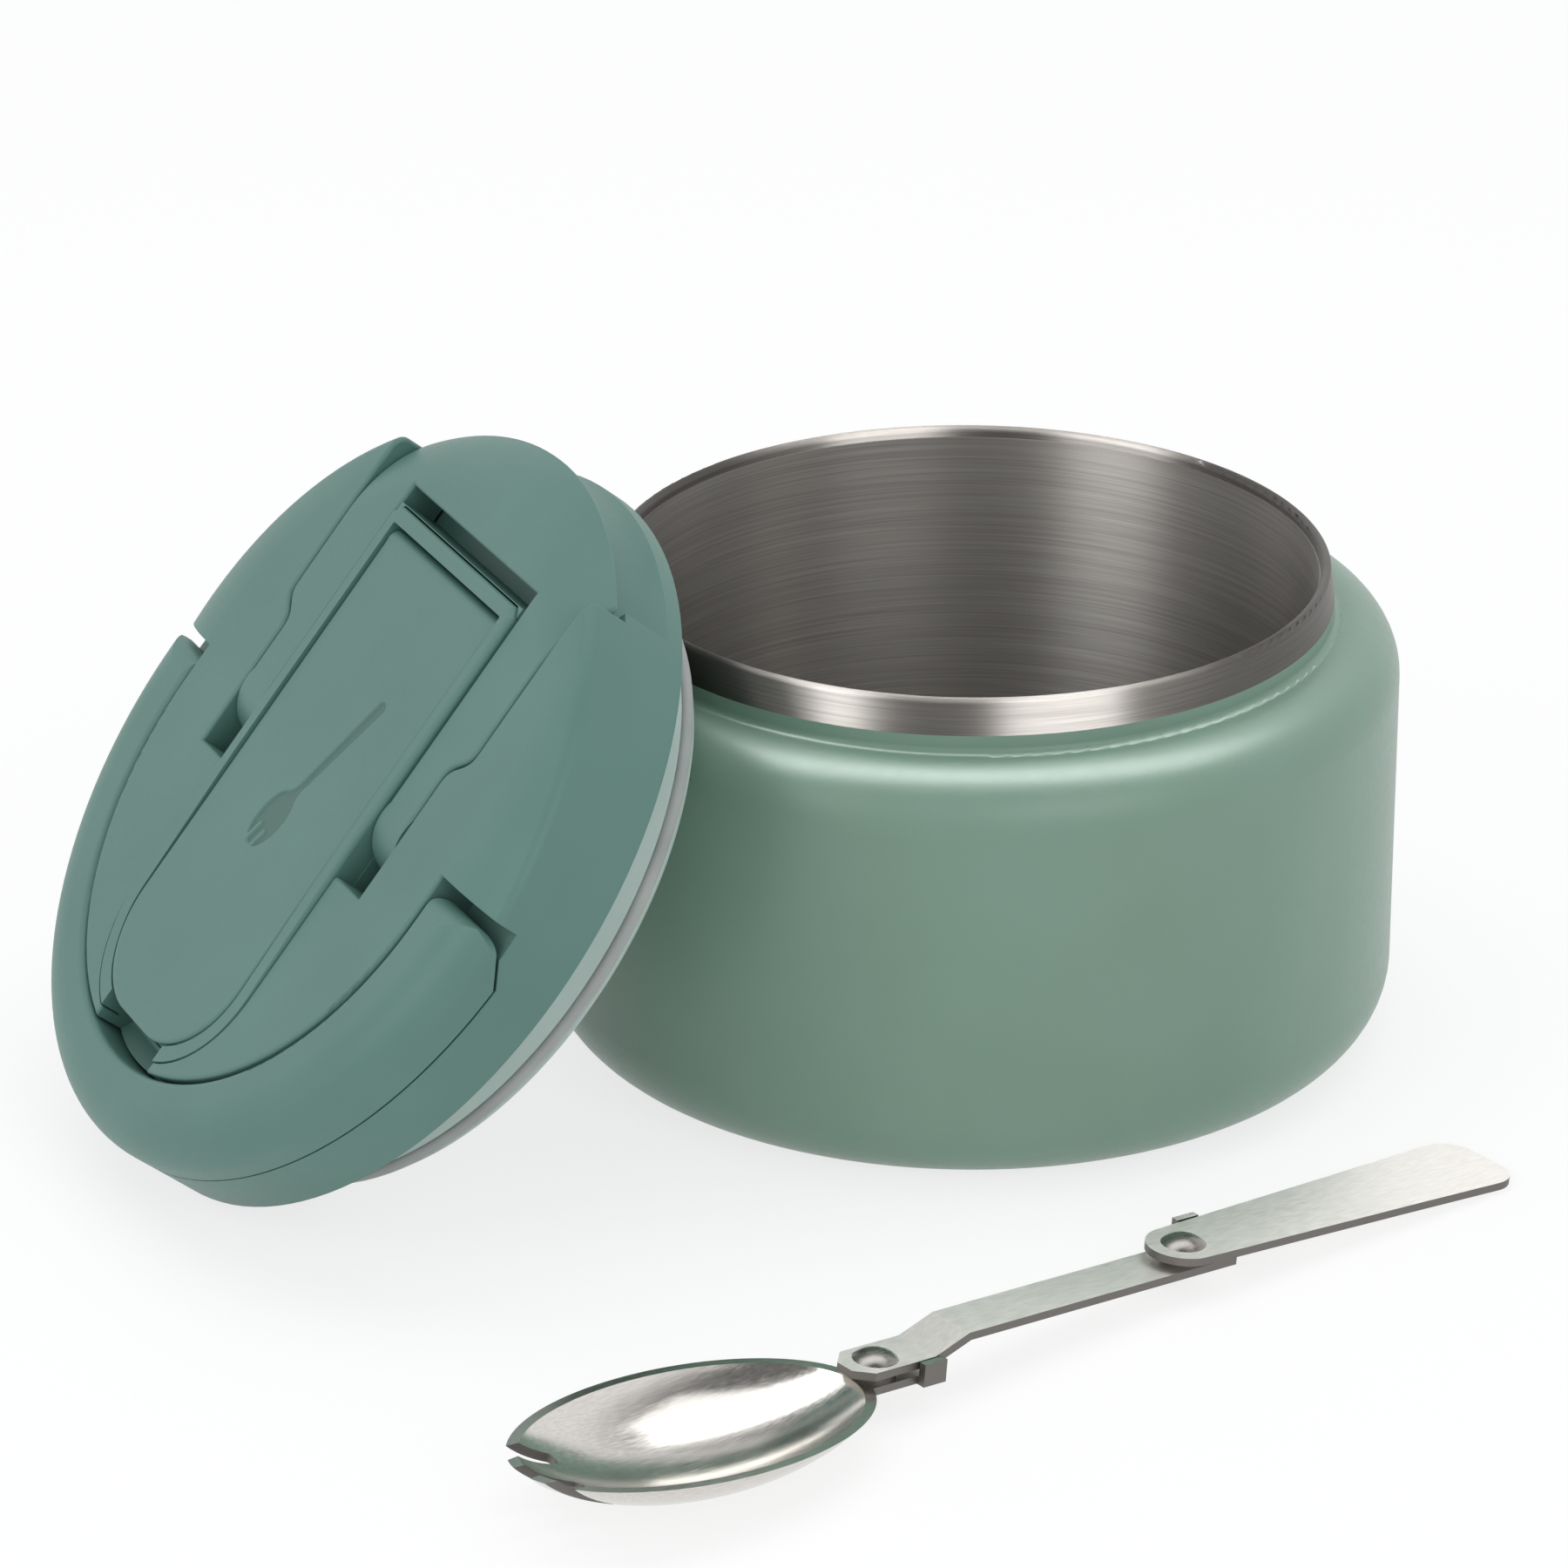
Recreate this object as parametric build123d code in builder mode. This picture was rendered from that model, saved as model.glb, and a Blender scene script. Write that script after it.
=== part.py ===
"""Insulated steel food jar with a plug lid, carry handle, spork pocket and folding spork.

The jar stands on Z = 0 with its axis on Z.  The lid leans against the jar and the
unfolded spork lies in front of it.  The lid and the spork are each modelled flat in a
frame of their own and are set in place by LID_PLACE and SPORK_PLACE.
"""
import os
from math import asin, cos, degrees, pi, radians, sin, sqrt

from build123d import *

# ---- jar ---------------------------------------------------------------------------
BODY_R = 65.0            # outside radius of the painted shell
BASE_CORNER = 11.6       # rounded corner at the foot
SHOULDER_ROUND = 9.0     # rounded shoulder
SHOULDER_Z = 66.4        # top of the shoulder
NECK_R = 54.9            # painted neck under the bare collar
NECK_Z = 69.3            # where the paint ends
COLLAR_TOP_R = 54.3      # collar radius just under the rolled rim
RIM_Z = 74.7             # top of the rolled rim
SHELL_WALL = 0.8
LINER_R = 52.5           # inside radius of the straight liner
LINER_WALL = 0.6
LINER_FLOOR_Z = 7.0
LINER_CORNER = 9.0
FOOT_R = 50.0            # radius of the base plate
PLATE_RISE = 1.4         # middle of the base plate, raised off the table

# ---- lid, in its own frame: Z = 0 at the skirt's lower edge, front at -Y -------------
LID_R = 59.6
LID_TOP = 18.5           # level of the top plate
SKIRT_IN_R = 57.0        # inside of the skirt
STEP_IN_R = 56.0         # inside of the thicker band above it
DECK_Z = 11.4            # floor of the handle channel and of the lever bay
DECK_UNDER = 9.9         # underside of that floor
LEDGE_Z = 8.9            # ledge under the handle's hanging edge
LEDGE_R = 57.3
HOLLOW_TOP = 16.0        # underside of the top plate
HOLLOW_R = 43.4
BEVEL_R = 46.9           # flat part of the top plate, struck from BEVEL_Y
BEVEL_Y = -10.3
BEVEL_ROUND = 24.0
SCOOP_Z = 3.0            # lower end of the finger scoop under the lever's lip
SCOOP_R = 56.5
SCOOP_HALF = 34.4

COVER_HALF = 19.5
COVER_FRONT = -37.0
COVER_BACK = 43.2
COVER_BACK_ROUND = 15.0
COVER_TOP = 18.9
COVER_UNDER = 16.4
BARREL_R = 1.9           # hinge barrel at the cover's front end
COVER_PIN_Y = COVER_FRONT + BARREL_R
COVER_PIN_Z = COVER_TOP - BARREL_R
COVER_PIN_R = 0.9
COVER_GAP = 0.4
FRAME_GROW = 2.9         # outer edge of the raised frame, measured from the cover
FRAME_TOP = 19.3
FRAME_UNDER = 15.0
TRAY_GROW = 1.2          # outer face of the pocket's wall, measured from the cover
TRAY_WALL = 1.8
TRAY_FLOOR = 1.5
LEDGE_TOP = 16.0         # the closed cover lies just above this level
NOTCH_HALF = 10.5        # finger notch behind the cover

LEVER_HALF = 34.6
LEVER_INNER_Y = -43.3    # back edge of the cross bar
ARM_IN = 22.9
ARM_OUT = 30.6
ARM_MID = (ARM_IN + ARM_OUT) / 2
STEP_Y0 = -20.7          # the lever narrows between these two lines
STEP_Y1 = -14.0
LEVER_UNDER = 12.0
LIP_START_R = 48.0       # the lever's top starts to roll down here
LIP_EDGE_Z = 13.4
LEVER_PIN_Y = -5.0
LEVER_PIN_Z = 11.0
LEVER_PIN_R = 1.6
CAM_R = 7.5
CAM_LIFT = 1.5           # how far the cam presses the rod as the lever closes
LEVER_TURN = 75.0
LEVER_GAP = 0.35
BAY_BACK = 6.4           # back wall of the wells behind the cams
WELL_FRONT = -14.6
WELL_FLOOR = -0.1
WELL_WALL = 1.5
ROD_R = 2.0
ROD_HEAD_R = 3.3
ROD_HEAD_T = 1.5
ROD_TOP = LEVER_PIN_Z - CAM_R - CAM_LIFT - 0.3
STEP_DRAFT = 2.4         # the lever's side step leans so that it lifts clear of the bay

HANDLE_UNDER = 11.8
HANDLE_LIP_Z = 9.2       # lower edge of the handle's outer skirt
HANDLE_LIP_R = 57.8
HANDLE_IN_R = 46.2
HANDLE_IN_Y = 2.4        # the inner arc is struck from a point behind the pivots
HANDLE_ROLL_R = 52.4     # the handle's outer edge is a quarter of an ellipse from here
HANDLE_ROLL_Z = 12.0
HANDLE_PIN_Y = 1.0
HANDLE_PIN_Z = (HANDLE_UNDER + LID_TOP) / 2
HANDLE_END_R = (LID_TOP - HANDLE_UNDER) / 2
HANDLE_PIN_R = 2.0
HANDLE_GAP = 0.5
CHANNEL_FRONT = -4.6     # front wall of the handle channel
HANDLE_NOSE = (-1.2, 12.65)  # the handle's end slopes from here to the front of its lip
LIP_FRONT_Y = 4.0

PLUG_R = 50.9
PLUG_WALL = 1.8
PLUG_Z = -8.55           # lower edge of the plug's wall
PLUG_FLOOR_Z = -5.8      # underside of the plug's floor
PLUG_FLOOR = 1.6
FLANGE_R = 55.4
FLANGE_UNDER = 8.7
SEAL_R = 51.4
SEAL_IN_R = 46.0
SEAL_TOP = -8.65
SEAL_Z = -10.95
PRESSER_Z = -8.6         # moving ring that squeezes the seal
PRESSER_T = 1.2
PRESSER_R = 48.7
FOOT_DISC_TOP = -11.0    # fixed disc under the seal
FOOT_DISC_Z = -12.5
FOOT_DISC_R = 50.0
HUB_R = 12.0
FOAM_Z = -1.9            # upper face of the foam under the wells
FOAM_TOP = 6.0
RUN_FIT = 0.06           # running clearance of a pin in its bore
EDGE = 0.6               # rounding of the moulded edges round the bay, wells and lever
FRAME_EDGE = 0.9
BRIM_ROUND = 2.0         # rounding of the cap's outer edge
HANDLE_EDGE = 1.0
HANDLE_END_IN = 1.4      # corners of the handle's ends, seen from above
HANDLE_END_OUT = 3.0
FRAME_FADE_Y = (4.0, 36.0)   # the frame's top sinks into the top plate between these lines
FRAME_SUNK = 18.6

# ---- spork, in its own frame: X along it, front rivet at the origin -----------------
SHEET = 1.2
RIVET_GAP = 1.0          # washer between two strips
REAR_RIVET_X = 56.9
HANDLE_END_X = 117.1
BOWL_MID_X = -32.0
BOWL_LONG = 27.7         # half length and half width of the bowl's inner rim
BOWL_HALF = 15.2
BOWL_RISE = 7.4          # the bowl is an ellipsoid struck from above the rim
BOWL_DROP = 6.6
LINK_HALF = 4.0
LINK_Z = SHEET / 2 + RIVET_GAP
JOGGLE_RISE = 2.2
GRIP_Z = LINK_Z + JOGGLE_RISE + SHEET + RIVET_GAP
TAIL = 8.5               # strip beyond a rivet
RIVET_R = 1.5
RIVET_HEAD_R = 3.3
RIVET_HEAD = 1.3

# ---- where the lid and the spork lie -------------------------------------------------
LEAN_AZIMUTH = 205.0     # side of the jar on which the lid leans
LEAN_TILT = 50.6
LID_REACH = 93.7         # from the jar's axis to the centre of the skirt's edge
LID_HEIGHT = 46.39
SPORK_CENTRE = (-15.5, -128.5, 5.12)
SPORK_TURN = 39.0
SPORK_PITCH = 5.4        # the bowl and the end of the grip both touch the table


def lean_frame():
    """Plane of the skirt's edge: Z out of the lid's top, the front up the slope."""
    side = radians(LEAN_AZIMUTH)
    tilt = radians(LEAN_TILT)
    normal = Vector(sin(tilt) * cos(side), sin(tilt) * sin(side), cos(tilt))
    across = Vector(sin(side), -cos(side), 0)
    centre = (LID_REACH * cos(side), LID_REACH * sin(side), LID_HEIGHT)
    return Plane(origin=centre, x_dir=across, z_dir=normal)


LID_PLACE = lean_frame().location
SPORK_PLACE = Location(SPORK_CENTRE, (0, 0, SPORK_TURN)) * Location((0, 0, 0), (0, SPORK_PITCH, 0))

os.makedirs("parts", exist_ok=True)


def write(builder, name, place=Location()):
    """Set a finished piece in its place, name it and write its file."""
    piece = builder.part.moved(place)
    piece.label = name
    export_step(piece, f"parts/{name}.step")


# ======================================================================================
# Jar
# ======================================================================================
BASE_FLAT_R = BODY_R - BASE_CORNER
SHOULDER_R = BODY_R - SHOULDER_ROUND
SHOULDER_C = SHOULDER_Z - SHOULDER_ROUND
NECK_ROUND = SHOULDER_R - NECK_R

# Outer shell: one drawn and necked sheet, open at the neck and at the foot.
with BuildPart() as outer_shell:
    with BuildSketch(Plane.XZ):
        with BuildLine():
            Line((FOOT_R, 0), (BASE_FLAT_R, 0))
            CenterArc((BASE_FLAT_R, BASE_CORNER), BASE_CORNER, -90, 90)
            Line((BODY_R, BASE_CORNER), (BODY_R, SHOULDER_C))
            CenterArc((SHOULDER_R, SHOULDER_C), SHOULDER_ROUND, 0, 90)
            CenterArc((SHOULDER_R, SHOULDER_Z + NECK_ROUND), NECK_ROUND, 180, 90)
            Line((NECK_R, SHOULDER_Z + NECK_ROUND), (NECK_R, NECK_Z))
            Line((NECK_R, NECK_Z), (NECK_R - SHELL_WALL, NECK_Z))
            Line((NECK_R - SHELL_WALL, NECK_Z), (NECK_R - SHELL_WALL, SHOULDER_Z + NECK_ROUND))
            CenterArc((SHOULDER_R, SHOULDER_Z + NECK_ROUND), NECK_ROUND + SHELL_WALL, 180, 90)
            CenterArc((SHOULDER_R, SHOULDER_C), SHOULDER_ROUND - SHELL_WALL, 0, 90)
            Line((BODY_R - SHELL_WALL, SHOULDER_C), (BODY_R - SHELL_WALL, BASE_CORNER))
            CenterArc((BASE_FLAT_R, BASE_CORNER), BASE_CORNER - SHELL_WALL, -90, 90)
            Line((BASE_FLAT_R, SHELL_WALL), (FOOT_R, SHELL_WALL))
            Line((FOOT_R, SHELL_WALL), (FOOT_R, 0))
        make_face()
    revolve(axis=Axis.Z)
write(outer_shell, "outer_shell")

# Base plate: welded into the foot, its middle raised off the table.
with BuildPart() as base_plate:
    with BuildSketch(Plane.XZ):
        with BuildLine():
            Polyline(
                (0, PLATE_RISE), (FOOT_R - 6, PLATE_RISE), (FOOT_R - 4, 0), (FOOT_R, 0),
                (FOOT_R, SHELL_WALL), (FOOT_R - 3.6, SHELL_WALL),
                (FOOT_R - 5.6, PLATE_RISE + SHELL_WALL), (0, PLATE_RISE + SHELL_WALL),
                close=True,
            )
        make_face()
    revolve(axis=Axis.Z)
write(base_plate, "base_plate")

# Liner: straight-walled cup of the food.
LINER_OUT = LINER_R + LINER_WALL
LINER_TOP = RIM_Z - 1.6
LINER_FLAT_R = LINER_R - LINER_CORNER
LINER_BEND_Z = LINER_FLOOR_Z + LINER_CORNER
with BuildPart() as inner_liner:
    with BuildSketch(Plane.XZ):
        with BuildLine():
            Line((0, LINER_FLOOR_Z), (LINER_FLAT_R, LINER_FLOOR_Z))
            CenterArc((LINER_FLAT_R, LINER_BEND_Z), LINER_CORNER, -90, 90)
            Line((LINER_R, LINER_BEND_Z), (LINER_R, LINER_TOP))
            Line((LINER_R, LINER_TOP), (LINER_OUT, LINER_TOP))
            Line((LINER_OUT, LINER_TOP), (LINER_OUT, LINER_BEND_Z))
            CenterArc((LINER_FLAT_R, LINER_BEND_Z), LINER_CORNER + LINER_WALL, -90, 90)
            Line((LINER_FLAT_R, LINER_FLOOR_Z - LINER_WALL), (0, LINER_FLOOR_Z - LINER_WALL))
            Line((0, LINER_FLOOR_Z - LINER_WALL), (0, LINER_FLOOR_Z))
        make_face()
    revolve(axis=Axis.Z)
write(inner_liner, "inner_liner")

# Collar: bare brushed band that joins the liner to the neck, rolled over at the top.
ROLL = (COLLAR_TOP_R - LINER_R - 0.2) / 2
with BuildPart() as rim_collar:
    with BuildSketch(Plane.XZ):
        with BuildLine():
            Line((LINER_OUT, NECK_Z), (NECK_R, NECK_Z))
            Line((NECK_R, NECK_Z), (COLLAR_TOP_R, RIM_Z - ROLL))
            ThreePointArc((COLLAR_TOP_R, RIM_Z - ROLL), (COLLAR_TOP_R - ROLL, RIM_Z),
                          (LINER_R + 0.2, RIM_Z - ROLL))
            Line((LINER_R + 0.2, RIM_Z - ROLL), (LINER_R + 0.2, LINER_TOP))
            Line((LINER_R + 0.2, LINER_TOP), (LINER_OUT, LINER_TOP))
            Line((LINER_OUT, LINER_TOP), (LINER_OUT, NECK_Z))
        make_face()
    revolve(axis=Axis.Z)
write(rim_collar, "rim_collar")

# Getter: small pill under the liner that keeps the vacuum.
with BuildPart() as vacuum_getter:
    with BuildSketch(Plane.XY.offset(LINER_FLOOR_Z - LINER_WALL - 2.4)):
        with Locations((18, 0)):
            Circle(6)
    extrude(amount=2.4)
    fillet(vacuum_getter.edges().group_by(Axis.Z)[0], radius=0.8)
write(vacuum_getter, "vacuum_getter")


# ======================================================================================
# Lid
# ======================================================================================
def on(axis, place):
    """Test for edges that lie wholly in the plane where the axis has that place."""
    def lies(edge):
        box = edge.bounding_box()
        low, high = (box.min.X, box.max.X) if axis == Axis.X else (box.min.Y, box.max.Y)
        return abs(low - place) < 0.02 and abs(high - place) < 0.02
    return lies


def above(height):
    """Test for edges that lie wholly above that height."""
    return lambda edge: edge.bounding_box().min.Z > height


def cover_outline(grow):
    """Outline of the pocket cover: square at the front, well rounded at the back."""
    with BuildSketch() as outline:
        with Locations((0, (COVER_FRONT + COVER_BACK) / 2)):
            Rectangle(2 * COVER_HALF + 2 * grow, COVER_BACK - COVER_FRONT + 2 * grow)
        fillet(outline.vertices().group_by(Axis.Y)[-1], radius=COVER_BACK_ROUND + grow)
        if grow > 0:
            chamfer(outline.vertices().group_by(Axis.Y)[0], length=0.5 * grow)
    return outline.sketch


def lever_outline(grow, inner_y, back_y, shift=0):
    """Outline of the U-shaped lever from above, run out past the lid's front edge."""
    wide = LEVER_HALF + grow
    narrow = ARM_OUT + grow
    inner = ARM_IN - grow
    with BuildSketch() as outline:
        with BuildLine():
            Polyline((inner, back_y), (inner, inner_y), (0, inner_y), (0, -70), (wide, -70),
                     (wide, STEP_Y0 - shift))
            Spline((wide, STEP_Y0 - shift), (narrow, STEP_Y1 - shift), tangents=((0, 1), (0, 1)))
            Polyline((narrow, STEP_Y1 - shift), (narrow, back_y), (inner, back_y))
        make_face()
        mirror(about=Plane.YZ)
    return outline.sketch


def channel_outline():
    """Open region in which the folded handle lies, seen from above."""
    inner = HANDLE_IN_R - HANDLE_GAP
    with BuildSketch() as outline:
        with Locations((0, CHANNEL_FRONT + 40)):
            Rectangle(130, 80)
        with Locations((0, HANDLE_IN_Y)):
            Circle(inner, mode=Mode.SUBTRACT)
        with Locations((0, (HANDLE_IN_Y + CHANNEL_FRONT) / 2)):
            Rectangle(2 * inner, HANDLE_IN_Y - CHANNEL_FRONT, mode=Mode.SUBTRACT)
    return outline.sketch


def dome_profile(roll_r, roll_z):
    """Half section of a disc whose top rolls down from roll_r to its edge at roll_z."""
    with BuildSketch(Plane.XZ) as outline:
        with BuildLine():
            Polyline((roll_r, LID_TOP), (0, LID_TOP), (0, -1), (LID_R, -1), (LID_R, roll_z))
            TangentArc((roll_r, LID_TOP), (LID_R, roll_z), tangent=(1, 0))
        make_face()
    return outline.sketch


# Bevel round the front of the top plate: everything outside it is cut off the cap.
BEVEL_OUT = 18.0
BEVEL_DROP = BEVEL_ROUND - sqrt(BEVEL_ROUND**2 - BEVEL_OUT**2)
with BuildPart() as bevel_cut:
    with BuildSketch(Plane.XZ.offset(-BEVEL_Y)):
        with BuildLine():
            RadiusArc((BEVEL_R, LID_TOP), (BEVEL_R + BEVEL_OUT, LID_TOP - BEVEL_DROP), BEVEL_ROUND)
            Polyline((BEVEL_R + BEVEL_OUT, LID_TOP - BEVEL_DROP), (BEVEL_R + BEVEL_OUT, 30),
                     (BEVEL_R, 30), (BEVEL_R, LID_TOP))
        make_face()
    revolve(axis=Axis((0, BEVEL_Y, 0), (0, 0, 1)))
    with Locations((0, CHANNEL_FRONT - 60, 15)):
        Box(180, 120, 60, mode=Mode.INTERSECT)

# Ledge round the back of the cap, under the handle's hanging lip.  Its front end slopes as
# the handle's end does.
SLOPE_GAP = 0.4
SLOPE = (LIP_FRONT_Y - HANDLE_NOSE[0]) / (HANDLE_NOSE[1] - HANDLE_LIP_Z)
LEDGE_FRONT_Y = LIP_FRONT_Y - SLOPE_GAP
LEDGE_HIGH = DECK_Z + 1 - LEDGE_Z
with BuildPart() as ledge_cut:
    with BuildSketch(Plane.YZ):
        with BuildLine():
            Polyline((LEDGE_FRONT_Y, LEDGE_Z), (75, LEDGE_Z), (75, LEDGE_Z + LEDGE_HIGH),
                     (LEDGE_FRONT_Y - SLOPE * LEDGE_HIGH, LEDGE_Z + LEDGE_HIGH), close=True)
        make_face()
    extrude(amount=75, both=True)
    Cylinder(LEDGE_R, 100, mode=Mode.SUBTRACT)

# Cap: the moulded top with its skirt.  A channel runs round the back for the handle and
# the lever lies in a bay at the front, its cams in two wells.
SCOOP_TURN = 2 * degrees(asin(SCOOP_HALF / LID_R))
SCOOP_START = radians(-90 - SCOOP_TURN / 2)
SCOOP_PLANE = Plane(origin=(0, 0, 0), x_dir=(cos(SCOOP_START), sin(SCOOP_START), 0),
                    z_dir=(sin(SCOOP_START), -cos(SCOOP_START), 0))
WELL_LONG = BAY_BACK - WELL_FRONT
WELL_WIDE = ARM_OUT - ARM_IN + 2 * LEVER_GAP
WELL_MID_Y = (WELL_FRONT + BAY_BACK) / 2
UP = (Align.CENTER, Align.CENTER, Align.MIN)
with BuildPart() as lid_cap:
    with BuildSketch(Plane.XZ):
        with BuildLine():
            Polyline(
                (0, LID_TOP), (0, DECK_UNDER), (STEP_IN_R, DECK_UNDER), (STEP_IN_R, 7.6),
                (SKIRT_IN_R, 6.6), (SKIRT_IN_R, 1.4), (SKIRT_IN_R + 1.2, 0), (LID_R, 0),
                (LID_R, LID_TOP), close=True,
            )
        make_face()
    revolve(axis=Axis.Z)
    add(bevel_cut.part, mode=Mode.SUBTRACT)
    # Hollow under the top plate, with a boss left round each handle pin.
    with BuildSketch(Plane.XY.offset(DECK_UNDER)):
        with Locations((0, HANDLE_IN_Y)):
            Circle(HOLLOW_R)
        add(lever_outline(LEVER_GAP + WELL_WALL, COVER_FRONT - 4, BAY_BACK + WELL_WALL),
            mode=Mode.SUBTRACT)
        add(cover_outline(FRAME_GROW + 2.0), mode=Mode.SUBTRACT)
        for side in (-1, 1):
            with Locations((side * (HOLLOW_R - 2), HANDLE_PIN_Y)):
                Rectangle(8, 10, mode=Mode.SUBTRACT)
    extrude(amount=HOLLOW_TOP - DECK_UNDER, mode=Mode.SUBTRACT)
    # Walls of the two wells hang below the deck.
    for side in (-1, 1):
        with Locations((side * ARM_MID, WELL_MID_Y, WELL_FLOOR - WELL_WALL)):
            Box(WELL_WIDE + 2 * WELL_WALL, WELL_LONG + 2 * WELL_WALL, DECK_Z - WELL_FLOOR + WELL_WALL,
                align=UP)
    # Handle channel and the ledge under the handle's hanging edge.
    with BuildSketch(Plane.XY.offset(DECK_Z)):
        add(channel_outline())
    extrude(amount=10, mode=Mode.SUBTRACT)
    add(ledge_cut.part, mode=Mode.SUBTRACT)
    # Lever bay, its wells and the scoop under the lever's lip.
    with BuildSketch(Plane.XY.offset(DECK_Z)):
        add(lever_outline(LEVER_GAP, COVER_FRONT - COVER_GAP - FRAME_GROW, BAY_BACK))
    extrude(amount=10, mode=Mode.SUBTRACT)
    for side in (-1, 1):
        with Locations((side * ARM_MID, WELL_MID_Y, WELL_FLOOR)):
            Box(WELL_WIDE, WELL_LONG, 12, align=UP, mode=Mode.SUBTRACT)
        with Locations((side * ARM_MID, LEVER_PIN_Y, 0)):
            Cylinder(ROD_R + RUN_FIT, 6, mode=Mode.SUBTRACT)
        with Locations(Location((side * ARM_MID, LEVER_PIN_Y, LEVER_PIN_Z), (0, 90, 0))):
            Cylinder(LEVER_PIN_R, WELL_WIDE + 2 * WELL_WALL - 0.4, mode=Mode.SUBTRACT)
    with BuildSketch(SCOOP_PLANE):
        with BuildLine():
            Spline((LID_R + 0.01, SCOOP_Z), (SCOOP_R, DECK_Z + 0.5),
                   tangents=((-0.75, 1), (-0.15, 1)))
            Polyline((SCOOP_R, DECK_Z + 0.5), (LID_R + 2, DECK_Z + 0.5), (LID_R + 2, SCOOP_Z),
                     (LID_R + 0.01, SCOOP_Z))
        make_face()
    revolve(axis=Axis.Z, revolution_arc=SCOOP_TURN, mode=Mode.SUBTRACT)
    # Rounded brim beside the lever, and softened edges round the bay and the channel.
    brim = lid_cap.edges().filter_by(lambda edge: edge.bounding_box().max.Z < LID_TOP - 0.2)
    brim = brim.filter_by(above(DECK_Z + 3)).sort_by(SortBy.LENGTH)[-2:]
    fillet(brim, radius=BRIM_ROUND)
    high = lid_cap.edges().filter_by(above(LID_TOP - 0.6))
    sides = high.filter_by(GeomType.BSPLINE).filter_by(lambda edge: -21 < edge.center().Y < -13)
    for side in (-1, 1):
        for half in (LEVER_HALF, ARM_OUT):
            sides += high.filter_by(on(Axis.X, side * (half + LEVER_GAP)))
    fillet(sides, radius=EDGE)
    # Opening for the pocket tray, the seat of its frame, and the finger notch.
    with BuildSketch():
        add(cover_outline(TRAY_GROW + 0.2))
    extrude(amount=25, mode=Mode.SUBTRACT)
    with BuildSketch(Plane.XY.offset(FRAME_UNDER)):
        add(cover_outline(FRAME_GROW + 0.3))
    extrude(amount=10, mode=Mode.SUBTRACT)
    with BuildSketch(Plane.YZ):
        with BuildLine():
            Polyline((COVER_BACK - 2, 12.5), (COVER_BACK + 2, 12.5), (COVER_BACK + 5.5, 14.5),
                     (COVER_BACK + 5.5, 25), (COVER_BACK - 2, 25), close=True)
        make_face()
    extrude(amount=NOTCH_HALF, both=True, mode=Mode.SUBTRACT)
    # Softened edges behind the wells, round the channel's inner wall and at the notch.
    top = lid_cap.edges().filter_by(above(LID_TOP - 0.05))
    rear = top.filter_by(on(Axis.Y, BAY_BACK))
    for side in (-1, 1):
        rear += top.filter_by(on(Axis.X, side * NOTCH_HALF))
        rear += top.filter_by(on(Axis.X, side * (HANDLE_IN_R - HANDLE_GAP)))
    rear += top.filter_by(GeomType.CIRCLE).filter_by(lambda edge: edge.length > 50)
    fillet(rear, radius=EDGE)
    # Bores of the handle pins.
    for side in (-1, 1):
        with Locations(Location((side * 45, HANDLE_PIN_Y, HANDLE_PIN_Z), (0, 90, 0))):
            Cylinder(HANDLE_PIN_R + RUN_FIT, 10.4, mode=Mode.SUBTRACT)
write(lid_cap, "lid_cap", LID_PLACE)

# Plug: cup that fills the jar's neck, with a flange under the cap's deck.
PLUG_IN_R = PLUG_R - PLUG_WALL
with BuildPart() as inner_lid:
    with BuildSketch(Plane.XZ):
        with BuildLine():
            Polyline(
                (0, PLUG_FLOOR_Z), (PLUG_IN_R, PLUG_FLOOR_Z), (PLUG_IN_R, PLUG_Z), (PLUG_R, PLUG_Z),
                (PLUG_R, FLANGE_UNDER), (FLANGE_R, FLANGE_UNDER), (FLANGE_R, DECK_UNDER),
                (PLUG_IN_R, DECK_UNDER), (PLUG_IN_R, PLUG_FLOOR_Z + PLUG_FLOOR),
                (0, PLUG_FLOOR_Z + PLUG_FLOOR), close=True,
            )
        make_face()
    revolve(axis=Axis.Z)
    for side in (-1, 1):
        with Locations((side * ARM_MID, LEVER_PIN_Y, PLUG_FLOOR_Z)):
            Cylinder(ROD_R + RUN_FIT, 8, mode=Mode.SUBTRACT)
write(inner_lid, "inner_lid", LID_PLACE)

# Foam: insulation sealed in the plug round the pocket and the wells.
with BuildPart() as lid_foam:
    with BuildSketch(Plane.XY.offset(PLUG_FLOOR_Z + PLUG_FLOOR)):
        Circle(PLUG_IN_R - 0.6)
        for side in (-1, 1):
            with Locations((side * ARM_MID, LEVER_PIN_Y)):
                Circle(ROD_R + 1.0, mode=Mode.SUBTRACT)
    extrude(amount=FOAM_TOP - PLUG_FLOOR_Z - PLUG_FLOOR)
    with BuildSketch(Plane.XY.offset(FOAM_Z)):
        add(cover_outline(TRAY_GROW + 0.6))
        for side in (-1, 1):
            with Locations((side * ARM_MID, WELL_MID_Y)):
                Rectangle(WELL_WIDE + 2 * WELL_WALL + 1, WELL_LONG + 2 * WELL_WALL + 1)
    extrude(amount=20, mode=Mode.SUBTRACT)
write(lid_foam, "lid_foam", LID_PLACE)

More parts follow.
